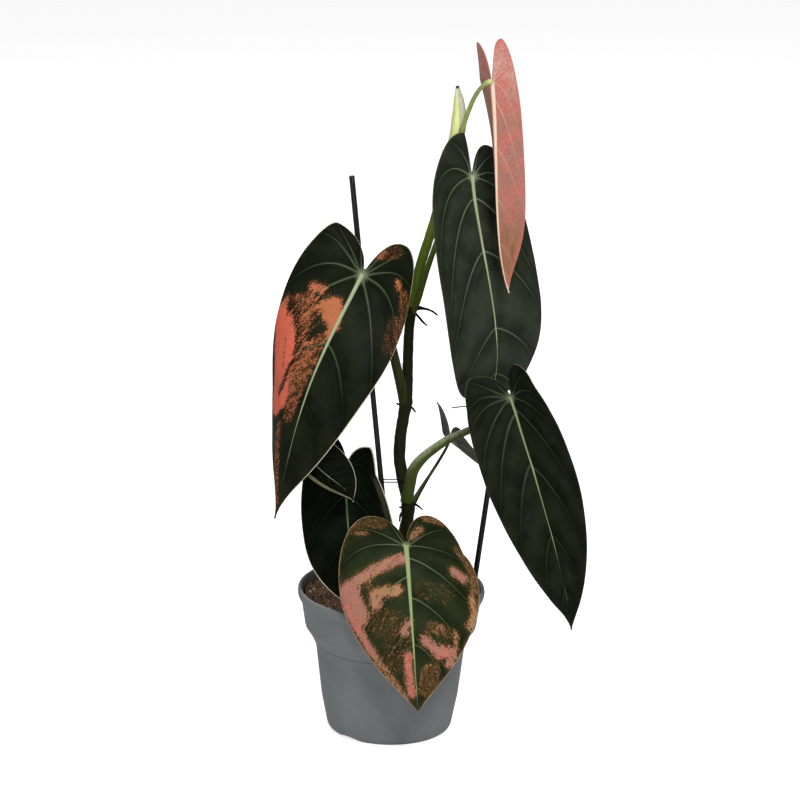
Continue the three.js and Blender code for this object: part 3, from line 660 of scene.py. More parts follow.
mat_small = velvet(
    "velvet_small_leaf", dark=rgb(7, 10, 4), light=rgb(13, 18, 9), vein=rgb(74, 90, 56),
    under=rgb(112, 106, 76), margin=rgb(206, 204, 182), margin_width=0.2)
mat_grey = velvet(
    "grey_small_leaf", dark=rgb(60, 58, 48), light=rgb(92, 90, 80), under=rgb(92, 90, 80),
    under_vein=rgb(150, 146, 134))
print("leaf materials:", sum(len(m.node_tree.nodes) for m in bpy.data.materials), "nodes")

# %% Where the two marbled leaves are pale
# Strokes are (strength, hue, radius, points), with the points (b, a) in mm along the midrib and
# away from it. A hue is 0 brown, 0.3 sand, 0.5 pink or 1 coral; None carves green back out.
LEFT_STROKES = [
    (12, 1.0, 8.5, (48, -50), (72, -44), (98, -38), (123, -34), (137, -31)),  # by the margin
    (12, 1.0, 6.5, (52, -40), (66, -32), (80, -29), (98, -26), (116, -22), (128, -23)),
    (2, 0.7, 3.2, (43, -50), (36, -48)),
    (8, 0.6, 3.6, (21, -30), (20, -21)),  # small upper patch
    (12, 0.3, 8, (33, -14), (28, -9), (39, -5)),  # tan patch at the rib
    (12, 0.3, 3.5, (38, -5), (51, -3)),
    (1.2, 0.4, 7, (39, -27), (55, -17), (79, -15), (103, -15)),  # mottle
    (0.9, 0.15, 5, (53, -8), (71, -7), (101, -9), (136, -11)),
    (1, 0.4, 4, (33, -38), (30, -24)),
    (-3, None, 4, (41, -17), (47, -9), (54, -16)),  # green islands
    (-3, None, 2.6, (69, -22), (70, -18)),
    (-1.5, None, 1.0, (83, -22), (97, -25), (113, -27), (122, -30)),
    (0.6, 0.2, 3.2, (148, -19), (168, -14), (188, -8), (200, -3)),  # strip to the tip
    (-0.4, 0.0, 4, (-20, 5), (-25, 12), (-29, 19)),  # right lobe
    (2, 0.3, 2.0, (-19, 7), (-24, 9)),
    (3, 0.4, 2.4, (-9, 29), (-5, 32)),
    (0.5, 0.0, 3.2, (-2, 38), (12, 46), (27, 47)),  # right margin
    (-0.6, 0.1, 4, (19, 40), (39, 44)),
]
FRONT_STROKES = [
    (9, 0.5, 5.2, (28, -43), (20, -27), (15, -15), (12, -5)),  # upper band
    (12, 0.6, 8, (33, -48), (45, -44), (54, -41)),
    (12, 0.75, 4.4, (33, -54), (55, -49), (70, -41), (84, -33)),  # left margin
    (1.5, 0.2, 3.4, (87, -31), (102, -20), (120, -9)),
    (12, 0.25, 4.8, (38, -28), (37, -20), (36, -9)),  # finger
    (5, 0.45, 5.5, (45, -34), (45, -27)),
    (-2, None, 3, (29, -29), (24, -15), (20, -6)),  # green islands
    (-1, None, 1.4, (40, -36), (46, -33)),
    (-0.9, 0.45, 9, (61, -25), (60, -14), (75, -11), (87, -18)),  # mottle
    (-3, None, 3, (67, -33), (76, -30)),
    (8, 0.55, 3.6, (67, -7), (60, -2)),
    (2.5, 0.85, 4.0, (84, -5), (99, -5), (115, -4)),  # beside the rib
    (12, 0.6, 4.2, (73, 9), (80, 16), (83, 27)),  # triangle
    (12, 0.75, 4.2, (85, 19), (84, 31), (93, 28)),
    (4, 0.3, 1.8, (70, 34), (90, 34)),
    (0.3, 0.15, 3.4, (64, 15), (70, 28)),
    (0.1, 0.05, 7, (98, 12), (111, 9)),
    (12, 0.65, 4.4, (24, 37), (31, 45)),  # spot
    (8, 0.3, 3.6, (48, 50), (57, 52), (67, 47)),  # right margin
    (0.6, 0.1, 4, (0, 47), (22, 54), (41, 55)),
    (-1.6, 0.2, 6, (38, 11), (42, 28)),
    (-0.3, 0.05, 3.4, (-18, -43), (-22, -30), (-20, -17)),  # lobes
    (8, 0.5, 1.8, (-13, -38), (-13, -31)),
    (1.2, 0.25, 2.6, (-8, 6), (-16, 14)),
    (0.8, 0.1, 2.6, (-26, 20), (-25, 35)),
]

# %% Build the eight blades
# Side veins are listed for the left and the right half as shares of the outline. Each row of
# BLADES has the slot, material, side veins, strokes, quilting, margin waves and midrib width.
LONG_VEINS = ((0.1, 0.2, 0.3, 0.44, 0.545, 0.605, 0.7, 0.8, 0.89),) * 2
RIGHT_VEINS = ((0.1, 0.19, 0.3, 0.4, 0.575, 0.645, 0.71, 0.8, 0.89),
               (0.1, 0.24, 0.36, 0.52, 0.64, 0.715, 0.8, 0.89))
LEFT_VEINS = ((0.08, 0.16, 0.24, 0.4, 0.59, 0.67, 0.76, 0.86),
              (0.1, 0.18, 0.28, 0.42, 0.595, 0.67, 0.76, 0.86))
FRONT_VEINS = ((0.1, 0.24, 0.4, 0.675, 0.775, 0.87), (0.12, 0.25, 0.46, 0.635, 0.715, 0.8, 0.9))
SMALL_VEINS = ((0.12, 0.3, 0.5, 0.62, 0.72, 0.84),) * 2
BLADES = {
    "leaf_new": ("leaf_pink", mat_new, LONG_VEINS, (), 0.35, 0.2, 1.0),
    "leaf_top": ("leaf_dark", mat_top, LONG_VEINS, (), 2.6, 0.4, 0.85),
    "leaf_left": ("leaf_marbled", mat_left, LEFT_VEINS, LEFT_STROKES, 1.3, 0.5, 0.85),
    "leaf_right": ("leaf_dark", mat_right, RIGHT_VEINS, (), 2.6, 0.4, 0.85),
    "leaf_front": ("leaf_marbled", mat_front, FRONT_VEINS, FRONT_STROKES, 1.4, 0.5, 1.6),
    "leaf_low_left": ("leaf_dark", mat_low, LONG_VEINS, (), 1.2, 0.4, 1.2),
    "leaf_small_left": ("leaf_dark", mat_small, SMALL_VEINS, (), 1.2, 0.4, 1.6),
    "leaf_small_right": ("leaf_grey", mat_grey, SMALL_VEINS, (), 1.0, 0.4, 1.2),
}
for seed, (name, (slot, *recipe)) in enumerate(BLADES.items()):
    blade = build_leaf(name, *recipe, seed)
    finish_piece(blade, slot, name)
    print(name, len(blade.data.polygons), "faces")

# %% [markdown]
# ## Stem, shoot and stalks
#
# A climbing philodendron is a chain of joints. At each joint the stem swells a little, keeps the
# scar of an old sheath and puts out short dark roots that hold on to bark or a stake. All of it is
# tube: a smooth curve through a few points and a radius that changes along it. We use the same
# centripetal curve as the solid model, so the fine tubes lie exactly where the plain ones did.

# %% Tubes
def smooth_curve(points, count, closed=False):
    """Centripetal Catmull-Rom through the points, resampled at even distances."""
    p = [np.asarray(q, float) for q in points]
    ext = [p[-1], *p, p[0], p[1]] if closed else [2 * p[0] - p[1], *p, 2 * p[-1] - p[-2]]
    dense = []
    for i in range(len(ext) - 3):
        p0, p1, p2, p3 = ext[i:i + 4]
        d0, d1, d2 = (max(np.linalg.norm(y - x)**0.5, 1e-4) for x, y in
                      ((p0, p1), (p1, p2), (p2, p3)))
        m1 = ((p1 - p0) / d0 - (p2 - p0) / (d0 + d1) + (p2 - p1) / d1) * d1
        m2 = ((p2 - p1) / d1 - (p3 - p1) / (d1 + d2) + (p3 - p2) / d2) * d1
        t = np.linspace(0, 1, 40, endpoint=False)[:, None]
        dense.append((2 * t**3 - 3 * t**2 + 1) * p1 + (t**3 - 2 * t**2 + t) * m1
                     + (-2 * t**3 + 3 * t**2) * p2 + (t**3 - t**2) * m2)
    dense.append(ext[-2][None, :])
    dense = np.concatenate(dense)
    steps = np.concatenate([[0], np.cumsum(np.linalg.norm(np.diff(dense, axis=0), axis=1))])
    even = np.linspace(0, steps[-1], count)
    return np.stack([np.interp(even, steps, dense[:, k]) for k in range(3)], -1), steps[-1]


def tube(points, stations, sides, steps, closed=False, wobble=0.0, seed=0.0, round_end=True):
    """A tube with a changing radius: vertices, faces, and for each point its share of the
    length and how far it faces up. Stations are (share of the length, radius)."""
    line, length = smooth_curve(points, steps + 1, closed)
    if closed:
        line = line[:-1]
    count = len(line)
    tangent = np.roll(line, -1, 0) - np.roll(line, 1, 0) if closed else np.gradient(line, axis=0)
    tangent = unit(tangent)
    share = np.arange(count) / steps
    radius = np.interp(share, *zip(*stations))
    if round_end and not closed:
        left = (1 - share) * length
        radius = radius * np.sqrt(np.clip(1 - (1 - np.clip(left / radius, 0, 1))**2, 0.02, 1))
    normal = np.cross(tangent[0], (0.3, 0.9, 0.1))
    vertices, along, above = [], [], []
    for i in range(count):
        normal = unit(normal - tangent[i] * np.dot(normal, tangent[i]))
        other = np.cross(tangent[i], normal)
        for k in range(sides):
            angle = 2 * math.pi * k / sides
            direction = normal * math.cos(angle) + other * math.sin(angle)
            r = radius[i]
            if wobble:
                where = Vector(tuple(line[i] * 0.22 + direction * 1.3 + seed))
                r *= 1 + wobble * noise.noise(where)
            vertices.append(line[i] + direction * r)
            along.append(share[i])
            # how far the skin faces up, which the stalk materials turn into painted light from
            # above
            above.append(max(0.0, direction[2]))
    faces = grid_faces(count, sides, ring_rows=closed, ring_columns=True)
    if not closed:
        faces.append(list(range(sides))[::-1])
        faces.append([(count - 1) * sides + k for k in range(sides)])
    return vertices, faces, along, above


def join_tubes(name, material, tubes, roots=()):
    """One object from several tubes, with a value that tells the roots from the rest."""
    vertices, faces, along, above = [], [], [], []
    for v, f, share, up in [*tubes, *roots]:
        faces += [[len(vertices) + i for i in face] for face in f]
        vertices += v
        along += share
        above += up
    is_root = np.arange(len(vertices)) >= sum(len(v) for v, *_ in tubes)
    return new_object(name, np.array(vertices) * MM, faces, material,
                      {"along": along, "above": above, "root": is_root})


# %% Plant tissue materials
def tissue(name, low, high, streak, rough, pale=None, root=None):
    """Smooth stem skin: a colour that changes along the tube, with fine lengthwise streaks."""
    n = Nodes(name)
    place, along = n.place(), n.attribute("along")
    lines = n.noise(n.scaled(place, (420.0, 420.0, 28.0)), 1.0, 4.0, 0.6)
    blotch = n.noise(place, 60.0, 4.0)
    colour = n.mix(along, low, high)
    if pale:
        # painted light: the side of a stalk that faces up is made paler, as if lit from above;
        # then the end by the blade gets the pale colour of its joint
        colour = n.mix(n.attribute("above"), colour, pale, 0.75)
        colour = n.mix(n.step(along, 0.93, 0.99), colour, pale)
    colour = n.mix(n.step(lines, 0.42, 0.68), colour, streak, 0.55)
    colour = n.mix(n.step(blotch, 0.55, 0.75), colour, streak, 0.35)
    if root:
        colour = n.mix(n.attribute("root"), colour, root)
    n.bump(n.plus(lines, blotch), 0.0004, 0.5)
    return n.set(Base_Color=colour, Roughness=rough, Specular_IOR_Level=0.05, Sheen_Weight=0.03)


mat_stem = tissue("stem_skin", rgb(30, 29, 15), rgb(28, 33, 10), rgb(12, 14, 6), 0.5,
                  root=rgb(24, 17, 14))
mat_shoot = tissue("shoot_skin", rgb(62, 76, 18), rgb(136, 160, 58), rgb(96, 118, 40), 0.4)
# a stalk's last colour is the pale joint by the blade and also painted light on the stalk's upper
# side
mat_stalk_new = tissue("new_stalk_skin", rgb(172, 182, 112), rgb(164, 176, 96),
                       rgb(134, 150, 74), 0.4, rgb(206, 212, 160))
mat_stalk_top = tissue("top_stalk_skin", rgb(50, 58, 18), rgb(100, 122, 44), rgb(70, 84, 28),
                       0.4, rgb(130, 144, 84))
mat_stalk_left = tissue("left_stalk_skin", rgb(40, 42, 15), rgb(56, 60, 30), rgb(28, 29, 12),
                        0.45, rgb(120, 132, 84))
mat_stalk_right = tissue("right_stalk_skin", rgb(58, 68, 26), rgb(74, 82, 40), rgb(46, 56, 18),
                         0.4, rgb(196, 202, 164))
mat_stalk_dark = tissue("dark_stalk_skin", rgb(32, 34, 18), rgb(44, 46, 28), rgb(22, 21, 13),
                        0.5, rgb(112, 122, 78))

# %% Stem with aerial roots, shoot and stalks
STEM = [(9, 3, 70), (9, 2, 140), (9.5, 0, 162), (12, 0, 176), (12, 0, 190), (9, 0, 203),
        (5, 0, 224), (5, 0, 241), (7, 0, 258), (9, 0, 271), (10, 0, 290), (10, 0, 310),
        (10.5, 0, 330), (12, 0, 351.6)]
STEM_RADII = [(0, 5), (0.3, 4.9), (0.38, 4.9), (0.405, 5.7), (0.43, 5.0), (0.5, 4.8), (0.65, 4.7),
              (0.7, 4.8), (0.72, 5.5), (0.735, 4.7), (0.78, 4.3), (0.95, 3.9), (1, 4.6)]
ROOTS = [
    [(12, 0, 346.5), (17, -3, 349.8), (23, -5, 350.5), (28, -7, 349.5), (33, -9, 346.5)],
    [(12, 1, 348), (17, 2, 343), (21, 3, 338), (25, 4, 334)],
    [(12, 0, 346.5), (16, 4, 349.5), (22, 6, 348), (28, 5, 346)],
    [(9, 0, 270), (4, -2, 271), (1, -3, 272.5)],
    [(10, 0, 270), (14, -4, 269), (17, -5, 265.5)],
    [(12, 0, 182), (7, -4, 181), (5.5, -5.5, 174)],
    [(12, 0, 184), (7, 2, 184), (5, 4, 183.5)],
    [(14, 0, 188), (19, -3, 188), (24, -5, 184.5)],
]
roots = [tube(points, [(0, 1.25), (0.7, 0.85), (1, 0.6)], 10, 28, wobble=0.25, seed=i * 7.0)
         for i, points in enumerate(ROOTS)]
finish_piece(join_tubes("stem_and_roots", mat_stem, [
    tube(STEM, STEM_RADII, 28, 240, wobble=0.07, round_end=False)], roots), "stem", "stem")

SHOOT = [(12, 0, 350.5), (15, 1, 368), (19, 1, 386), (25, 1, 407), (31, 1, 429), (37, 1, 453),
         (39.5, 0.8, 462)]
finish_piece(join_tubes("green_shoot", mat_shoot, [
    tube(SHOOT, [(0, 4.5), (0.06, 4.3), (0.3, 3.9), (1, 3.6)], 24, 100, wobble=0.04)]),
    "shoot", "shoot")

STALKS = {
    "stalk_new": (
        mat_stalk_new, "stalk_green", [(0, 2.2), (0.5, 1.8), (0.88, 1.6), (0.95, 2.1), (1, 1.9)],
        [(39.5, 0.8, 459), (42.5, 0.5, 474), (46, 0, 487), (49, -4, 496), (52, -12, 507.5),
         (55.5, -22, 520), (59.5, -34, 531), (63.5, -43, 538), (67.5, -46, 541.5),
         (70, -42, 541)]),
    "stalk_top": (
        mat_stalk_top, "stalk_green", [(0, 3), (0.2, 2.3), (1, 1.9)],
        [(12, 0, 344), (17, -5, 358), (24, -8, 384), (31, -7, 406), (39, -4, 428), (47, -2, 446),
         (54, -6, 457), (57, -12, 461), (57, -16, 460)]),
    "stalk_left": (
        mat_stalk_left, "stalk_olive", [(0, 4.6), (0.25, 3.9), (0.6, 3), (1, 2.2)],
        [(9, 0, 268), (5, -3, 287), (1, -6, 304), (-3, -9, 322), (-8, -12, 343), (-16, -16, 364),
         (-23, -23, 381), (-26, -30, 387), (-27, -34, 385)]),
    "stalk_right": (
        mat_stalk_right, "stalk_green", [(0, 5.2), (0.16, 4.8), (0.3, 3.8), (0.6, 2.8), (1, 2)],
        [(11, -1, 190), (13, -3, 205), (16, -5, 218), (23, -6, 228), (32, -6, 236), (42, -5, 243),
         (54, -5, 249), (68, -7, 257), (81, -13, 269.5), (87, -26, 282.5), (91, -44, 291)]),
    "stalk_front": (
        mat_stalk_dark, "stalk_olive", [(0, 2.8), (0.3, 2.4), (1, 2)],
        [(9, 1, 122), (10, -12, 132), (11, -30, 151), (11, -46, 167), (11, -55, 173.5),
         (11, -60, 173)]),
    "stalk_low_left": (
        mat_stalk_dark, "stalk_olive", [(0, 2.8), (0.3, 2.4), (1, 2)],
        [(8, 1, 128), (-2, -4, 145), (-15, -5, 175), (-28, -5, 207), (-35, -10, 223),
         (-37, -18, 224)]),
    "stalk_small_left": (
        mat_stalk_dark, "stalk_olive", [(0, 2.4), (0.2, 1.9), (1, 1.4)],
        [(9, 3, 136), (-4, 3, 152), (-22, 4, 190), (-40, 1, 220), (-54, -5, 246), (-65, -18, 263),
         (-71, -34, 264), (-73, -44, 255)]),
    "stalk_small_right": (
        mat_stalk_dark, "stalk_olive", [(0, 2.9), (0.25, 2.2), (0.5, 1.3), (1, 1.1)],
        [(12, 2, 176), (17, 3, 189), (22, 5, 198), (28, 7, 208), (36, 9, 221), (43, 11, 234),
         (45, 10, 241)]),
}
for name, (material, slot, radii, points) in STALKS.items():
    stalk = join_tubes(name + "_skin", material, [tube(points, radii, 20, 90, wobble=0.03)])
    finish_piece(stalk, slot, name)
print("stalks:", len(STALKS))

# %% [markdown]
# ## The sheath of the newest leaf
#
# A new philodendron leaf grows inside a thin rolled sheath, which opens and dries once the leaf is
# out. It is a slit tube that narrows to a point, pale and a little translucent, with a papery rim
# and a dry black tip.

# %% Sheath
SHEATH_AXIS = [(39.5, 0.7, 463), (43, 0, 480), (45.5, 0, 492), (46.5, 0, 505), (46, 0, 517),
               (44.5, 0, 528)]
SHEATH_RADII = [(0, 4.7), (0.3, 5.6), (0.6, 5.8), (0.85, 3.6), (1, 0.9)]


def sheath_mesh(rows=48, columns=40, half=0.3):
    """Vertices and faces of the slit tube, how far round it each point is, and how far up."""
    line, _ = smooth_curve(SHEATH_AXIS, rows + 1)
    t = np.linspace(0, 1, rows + 1)
    radius = np.interp(t, *zip(*SHEATH_RADII))
    opening = 40 + 90 * t
    inner, outer, rim, tip = [], [], [], []
    for i in range(rows + 1):
        for j in range(columns + 1):
            share = j / columns
            angle = math.radians(-45 + opening[i] / 2 + (360 - opening[i]) * share)
            direction = np.array([math.cos(angle), math.sin(angle), 0])
            rib = 0.06 * math.sin(share * 60)
            thin = half * (0.45 + 0.55 * min(1, 6 * min(share, 1 - share) + 0.1))
            outer.append(line[i] + direction * (radius[i] + thin + rib))
            inner.append(line[i] + direction * max(radius[i] - thin, 0.05))
            rim.append(share * (360 - opening[i]) / 360 * 6.28 * radius[i])
            tip.append(t[i])
    w, total = columns + 1, len(outer)
    faces = grid_faces(rows + 1, w)
    faces += [face[::-1] for face in grid_faces(rows + 1, w, total)]
    # walls close the gap between the outer and the inner face along the four edges
    walls = [(i * w, (i + 1) * w) for i in range(rows)]
    walls += [((i + 1) * w + columns, i * w + columns) for i in range(rows)]
    walls += [(j + 1, j) for j in range(columns)]
    walls += [(rows * w + j, rows * w + j + 1) for j in range(columns)]
    faces += [[a, b, total + b, total + a] for a, b in walls]
    return outer + inner, faces, {"rim": rim + rim, "along": tip + tip}


n = Nodes("sheath_skin")
fibres = n.noise(n.scaled(n.place(), (900.0, 900.0, 16.0)), 1.0, 4.0)
green = n.mix(n.step(fibres, 0.35, 0.7), rgb(232, 236, 166), rgb(200, 212, 126))
papery = n.mix(n.step(n.attribute("rim"), 12.0, 5.0), green, rgb(222, 222, 206))
tipped = n.mix(n.step(n.attribute("along"), 0.955, 0.985), papery, rgb(30, 24, 20))
n.bump(fibres, 0.0002, 0.5)
mat_sheath = n.set(Base_Color=tipped, Roughness=0.45, Subsurface_Weight=0.3,
                   Subsurface_Radius=(0.01, 0.01, 0.005))
vertices, faces, values = sheath_mesh()
finish_piece(new_object("sheath_skin", np.array(vertices) * MM, faces, mat_sheath, values,
                        merge=1e-6), "sheath", "sheath")
print("sheath faces:", len(faces))

# %% [markdown]
# ## The pot
#
# A nursery pot is moulded in one piece: a thin tapering wall, a shoulder, a stiffer collar and a
# rolled lip. The underside has a foot ring with arched notches, so that water can run away, and
# drain holes in the raised floor. It is a shape turned about one axis, then cut.

# %% Pot
# The half section from the middle of the underside round the lip to the middle of the inside.
POT_PROFILE = [
    (0, 0), (14, 0), (14.6, 0.4), (15.5, 4), (40, 4), (40.8, 0.5), (41.2, 0), (46, 0), (47.4, 0.3),
    (49, 1.5), (50, 3), (50.6, 5), (55, 28), (59.6, 67), (60.2, 70.5), (61.5, 74), (63.2, 77.6),
    (65, 81), (67, 84), (68.4, 86), (69.1, 88.5), (69.4, 91), (72, 108), (72.7, 109.4),
    (74.0, 110.5), (74.7, 112.2), (75, 114.5), (74.8, 116.2), (74.4, 117.4), (73.8, 117.9),
    (73.2, 118), (72.5, 117.8), (71.8, 117), (71, 113), (70.2, 108), (67.6, 91), (66.4, 86.5),
    (63.2, 81.2), (59.8, 74), (57.8, 67), (53.2, 28), (49, 9), (46, 6), (0, 6)]


# the fine dark line is painted shade under the shoulder's ledge
SHOULDER = 74    # height of the fine dark line under the shoulder
NOTCH_RADIUS, DRAIN_RADIUS, DRAIN_RING = 26, 3.5, 28


def turned(profile, segments):
    """The surface that a profile of (radius, height) makes when it is turned about the axis."""
    angles = [2 * math.pi * k / segments for k in range(segments)]
    vertices = np.array([(r * math.cos(angle), r * math.sin(angle), z) for r, z in profile
                         for angle in angles], float)
    return vertices, grid_faces(len(profile), segments, ring_columns=True)


def cutter(name, radius, depth, matrix, segments):
    edit = bmesh.new()
    bmesh.ops.create_cone(edit, cap_ends=True, segments=segments, radius1=radius * MM,
                          radius2=radius * MM, depth=depth * MM, matrix=matrix)
    return from_edit(name, edit)


def cut(obj, tools):
    for tool in tools:
        modifier = obj.modifiers.new("cut", "BOOLEAN")
        modifier.object, modifier.operation, modifier.solver = tool, "DIFFERENCE", "EXACT"
    graph = bpy.context.evaluated_depsgraph_get()
    mesh = bpy.data.meshes.new_from_object(obj.evaluated_get(graph))
    obj.modifiers.clear()
    obj.data = mesh
    for tool in tools:
        bpy.data.objects.remove(tool)


n = Nodes("pot_plastic")
place = n.place()
smudge = n.noise(place, 22.0, 5.0, 0.6)
grey = n.mix(n.step(smudge, 0.3, 0.75), rgb(110, 114, 115), rgb(122, 126, 127))
# painted shade: a fine dark line under the shoulder, where the ledge casts its shadow
shoulder_shade_gap = n.math("ABSOLUTE", n.minus(n.split(place)[2], SHOULDER * MM))
grey = n.mix(n.step(shoulder_shade_gap, 0.9 * MM, 0.2 * MM), grey, rgb(58, 62, 64), 0.55)
n.bump(n.noise(place, 900.0), 0.00005, 0.5)
mat_pot = n.set(Base_Color=grey, Roughness=n.plus(n.times(smudge, 0.2), 0.45),
                Specular_IOR_Level=0.2)
vertices, faces = turned(POT_PROFILE, 192)
pot = new_object("pot_shell", vertices * MM, faces, mat_pot, merge=1e-6)
tools = []
for k in range(3):
    turn = (Matrix.Rotation(math.radians(-131 + 120 * k), 4, "Z")
            @ Matrix.Translation(Vector((50, 0, -23)) * MM) @ Matrix.Rotation(math.pi / 2, 4, "Y"))
    tools.append(cutter("notch", NOTCH_RADIUS, 20, turn, 128))
for k in range(6):
    angle = 2 * math.pi * k / 6
    spot = Vector((DRAIN_RING * math.cos(angle), DRAIN_RING * math.sin(angle), 6)) * MM
    tools.append(cutter("drain", DRAIN_RADIUS, 12, Matrix.Translation(spot), 40))
cut(pot, tools)
pot.data.polygons.foreach_set("use_smooth", [True] * len(pot.data.polygons))
pot.data.set_sharp_from_angle(angle=math.radians(35))
finish_piece(pot, "pot", "pot")
print("pot faces:", len(pot.data.polygons))

# %% [markdown]
# ## Potting mix
#
# Aroid soil is coarse: bark, coir crumbs and a little white perlite. The soil body is a turned
# solid with a lumpy top. Crumbs are what repeats, so Geometry Nodes does the work: it scatters
# points over the top, puts one of a few rough crumbs on each, and makes them real geometry.

# %% Soil body
SOIL_SIDE = [(0, 6.3), (46, 6.3), (48.5, 9.5), (52.8, 28), (57.4, 67), (59.2, 74), (62.4, 80.6),
             (65.4, 86), (67.2, 91), (69.6, 107), (69.9, 109.5)]
SOIL_TOP, SOIL_RADIUS, RINGS = 111, 69.2, 44
CRUMB_SPACING, MOST_CRUMBS = 1.75, 600000    # mm, and crumbs to a square metre
profile = SOIL_SIDE + [(SOIL_RADIUS * (1 - i / RINGS), SOIL_TOP) for i in range(RINGS + 1)]
vertices, faces = turned(profile, 144)
for v in vertices:
    if v[2] > SOIL_TOP - 0.5:
        lump = 1.1 * math.sin(v[0] * 0.21 + 1.3) * math.cos(v[1] * 0.17)
        lump += 0.7 * math.sin(v[0] * 0.47 - v[1] * 0.39)
        v[2] += lump + 0.9 * noise.noise(Vector(v * 0.45)) + 0.5 * noise.noise(Vector(v * 1.1))

n = Nodes("potting_mix")
place = n.place()
shade = n.noise(place, 260.0, 5.0, 0.7)
earth = n.mix(n.step(shade, 0.35, 0.65), rgb(96, 78, 62), rgb(150, 122, 98))
earth = n.mix(n.step(n.noise(place, 900.0), 0.62, 0.7), earth, rgb(120, 92, 70), 0.7)
n.bump(n.plus(shade, n.voronoi(place, 600.0)), 0.0012, 1.0)
mat_soil = n.set(Base_Color=earth, Roughness=0.95, Specular_IOR_Level=0.15)

n = Nodes("crumbs")
tone = n.attribute("tone")
bark = n.mix(n.step(tone, 0.0, 0.55), rgb(76, 58, 44), rgb(160, 126, 100))
bark = n.mix(n.step(tone, 0.72, 0.8), bark, rgb(172, 130, 100))
bark = n.mix(n.step(tone, 0.945, 0.95), bark, rgb(216, 204, 192))
n.bump(n.noise(n.place(), 1500.0), 0.0003, 0.8)
mat_crumb = n.set(Base_Color=bark, Roughness=0.9, Specular_IOR_Level=0.2)
soil = new_object("soil_body", vertices * MM, faces, mat_soil, merge=1e-6)
print("soil faces:", len(soil.data.polygons))


# %% Crumbs scattered by Geometry Nodes
def crumb(name, seed, stretch):
    edit = bmesh.new()
    bmesh.ops.create_icosphere(edit, subdivisions=1, radius=1.0 * MM)
    for v in edit.verts:
        push = 1 + 0.55 * noise.noise(v.co * 900 + Vector((seed, 0, seed)))
        v.co = Vector((v.co.x * stretch, v.co.y, v.co.z * 0.7)) * push
    return from_edit(name, edit)


def scatter_tree(shapes, material):
    tree = bpy.data.node_groups.new("scatter crumbs", "GeometryNodeTree")
    for name, way, kind in (("Geometry", "INPUT", "Geometry"), ("Spacing", "INPUT", "Float"),
                            ("Seed", "INPUT", "Int"), ("Geometry", "OUTPUT", "Geometry")):
        tree.interface.new_socket(name, in_out=way, socket_type="NodeSocket" + kind)

    def add(kind, inputs={}, **settings):
        node = tree.nodes.new(kind)
        for key, value in settings.items():
            setattr(node, key, value)
        for key, value in inputs.items():
            fill(node.inputs[key], value)
        return node

    start = add("NodeGroupInput").outputs
    # only faces near the top get crumbs
    place = add("GeometryNodeInputPosition").outputs[0]
    height = add("ShaderNodeSeparateXYZ", {0: place}).outputs["Z"]
    top = add("FunctionNodeCompare", {0: height, 1: (SOIL_TOP - 3) * MM}).outputs[0]
    points = add("GeometryNodeDistributePointsOnFaces", {
        "Mesh": start["Geometry"], "Selection": top, "Distance Min": start["Spacing"],
        "Density Max": MOST_CRUMBS, "Seed": start["Seed"]}, distribute_method="POISSON")
    # each point gets one of the shapes, turned and sized at random
    bag = add("GeometryNodeJoinGeometry")
    for shape in shapes:
        info = add("GeometryNodeObjectInfo", {"Object": shape, "As Instance": True})
        fill(bag.inputs[0], info.outputs["Geometry"])
    turn = add("FunctionNodeRandomValue", {"Max": (6.28, 6.28, 6.28)}, data_type="FLOAT_VECTOR")
    size = add("FunctionNodeRandomValue", {2: 0.35, 3: 1.35})
    put = add("GeometryNodeInstanceOnPoints", {
        "Points": points.outputs["Points"], "Instance": bag.outputs[0], "Pick Instance": True,
        "Rotation": turn.outputs[0], "Scale": size.outputs[1]})
    # each crumb gets a random tone for the material, and all become real geometry
    tone = add("FunctionNodeRandomValue", {"Seed": 9}).outputs[1]
    store = add("GeometryNodeStoreNamedAttribute", {
        "Geometry": put.outputs[0], "Name": "tone", "Value": tone}, domain="INSTANCE")
    real = add("GeometryNodeRealizeInstances", {0: store.outputs[0]})
    painted = add("GeometryNodeSetMaterial", {0: real.outputs[0], "Material": material})
    add("NodeGroupOutput", {0: painted.outputs[0]})
    return tree


shapes = [crumb("crumb_a", 1, 1.0), crumb("crumb_b", 5, 1.7), crumb("crumb_c", 9, 1.3)]
modifier = soil.modifiers.new("crumbs", "NODES")
modifier.node_group = scatter_tree(shapes, mat_crumb)
sockets = {i.name: i.identifier for i in modifier.node_group.interface.items_tree
           if i.in_out == "INPUT"}
modifier[sockets["Spacing"]] = CRUMB_SPACING * MM
modifier[sockets["Seed"]] = 3
soil.update_tag()
bpy.context.view_layer.update()
graph = bpy.context.evaluated_depsgraph_get()
crumb_mesh = bpy.data.meshes.new_from_object(soil.evaluated_get(graph))
soil.modifiers.remove(modifier)
for shape in shapes:
    bpy.data.objects.remove(shape)
crumbs = add_object("soil_crumbs", crumb_mesh)
finish_piece(soil, "soil", "soil")
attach(crumbs, "root")
print("crumb faces:", len(crumb_mesh.polygons), "materials:", len(crumb_mesh.materials))

# %% [markdown]
# ## Stakes and ties
#
# Two thin dark stakes hold the climber up, with twists of black wire round stem and stake.

# %% Stakes and ties
n = Nodes("stake_plastic")
lines = n.noise(n.scaled(n.place(), (500.0, 500.0, 12.0)), 1.0, 3.0)
n.bump(lines, 0.0002, 0.5)
mat_stake = n.set(Base_Color=n.mix(n.step(lines, 0.35, 0.7), rgb(24, 20, 22), rgb(42, 36, 38)),
                  Roughness=0.5, Specular_IOR_Level=0.2)
mat_tie = Nodes("tie_wire").set(Base_Color=rgb(9, 8, 8), Roughness=0.6, Specular_IOR_Level=0.1)
STAKE, WIRE = 2.2, 0.5    # radii
for name, low, high in (("stake_left", (7.6, 22, 39), (-36, -8, 457)),
                        ("stake_right", (63, 7, 90), (85, 7, 274))):
    middle = tuple((a + b) / 2 for a, b in zip(low, high))
    rod = tube([low, middle, high], [(0, STAKE), (1, STAKE)], 24, 60, round_end=False)
    finish_piece(join_tubes(name + "_rod", mat_stake, [rod]), "stake", name)
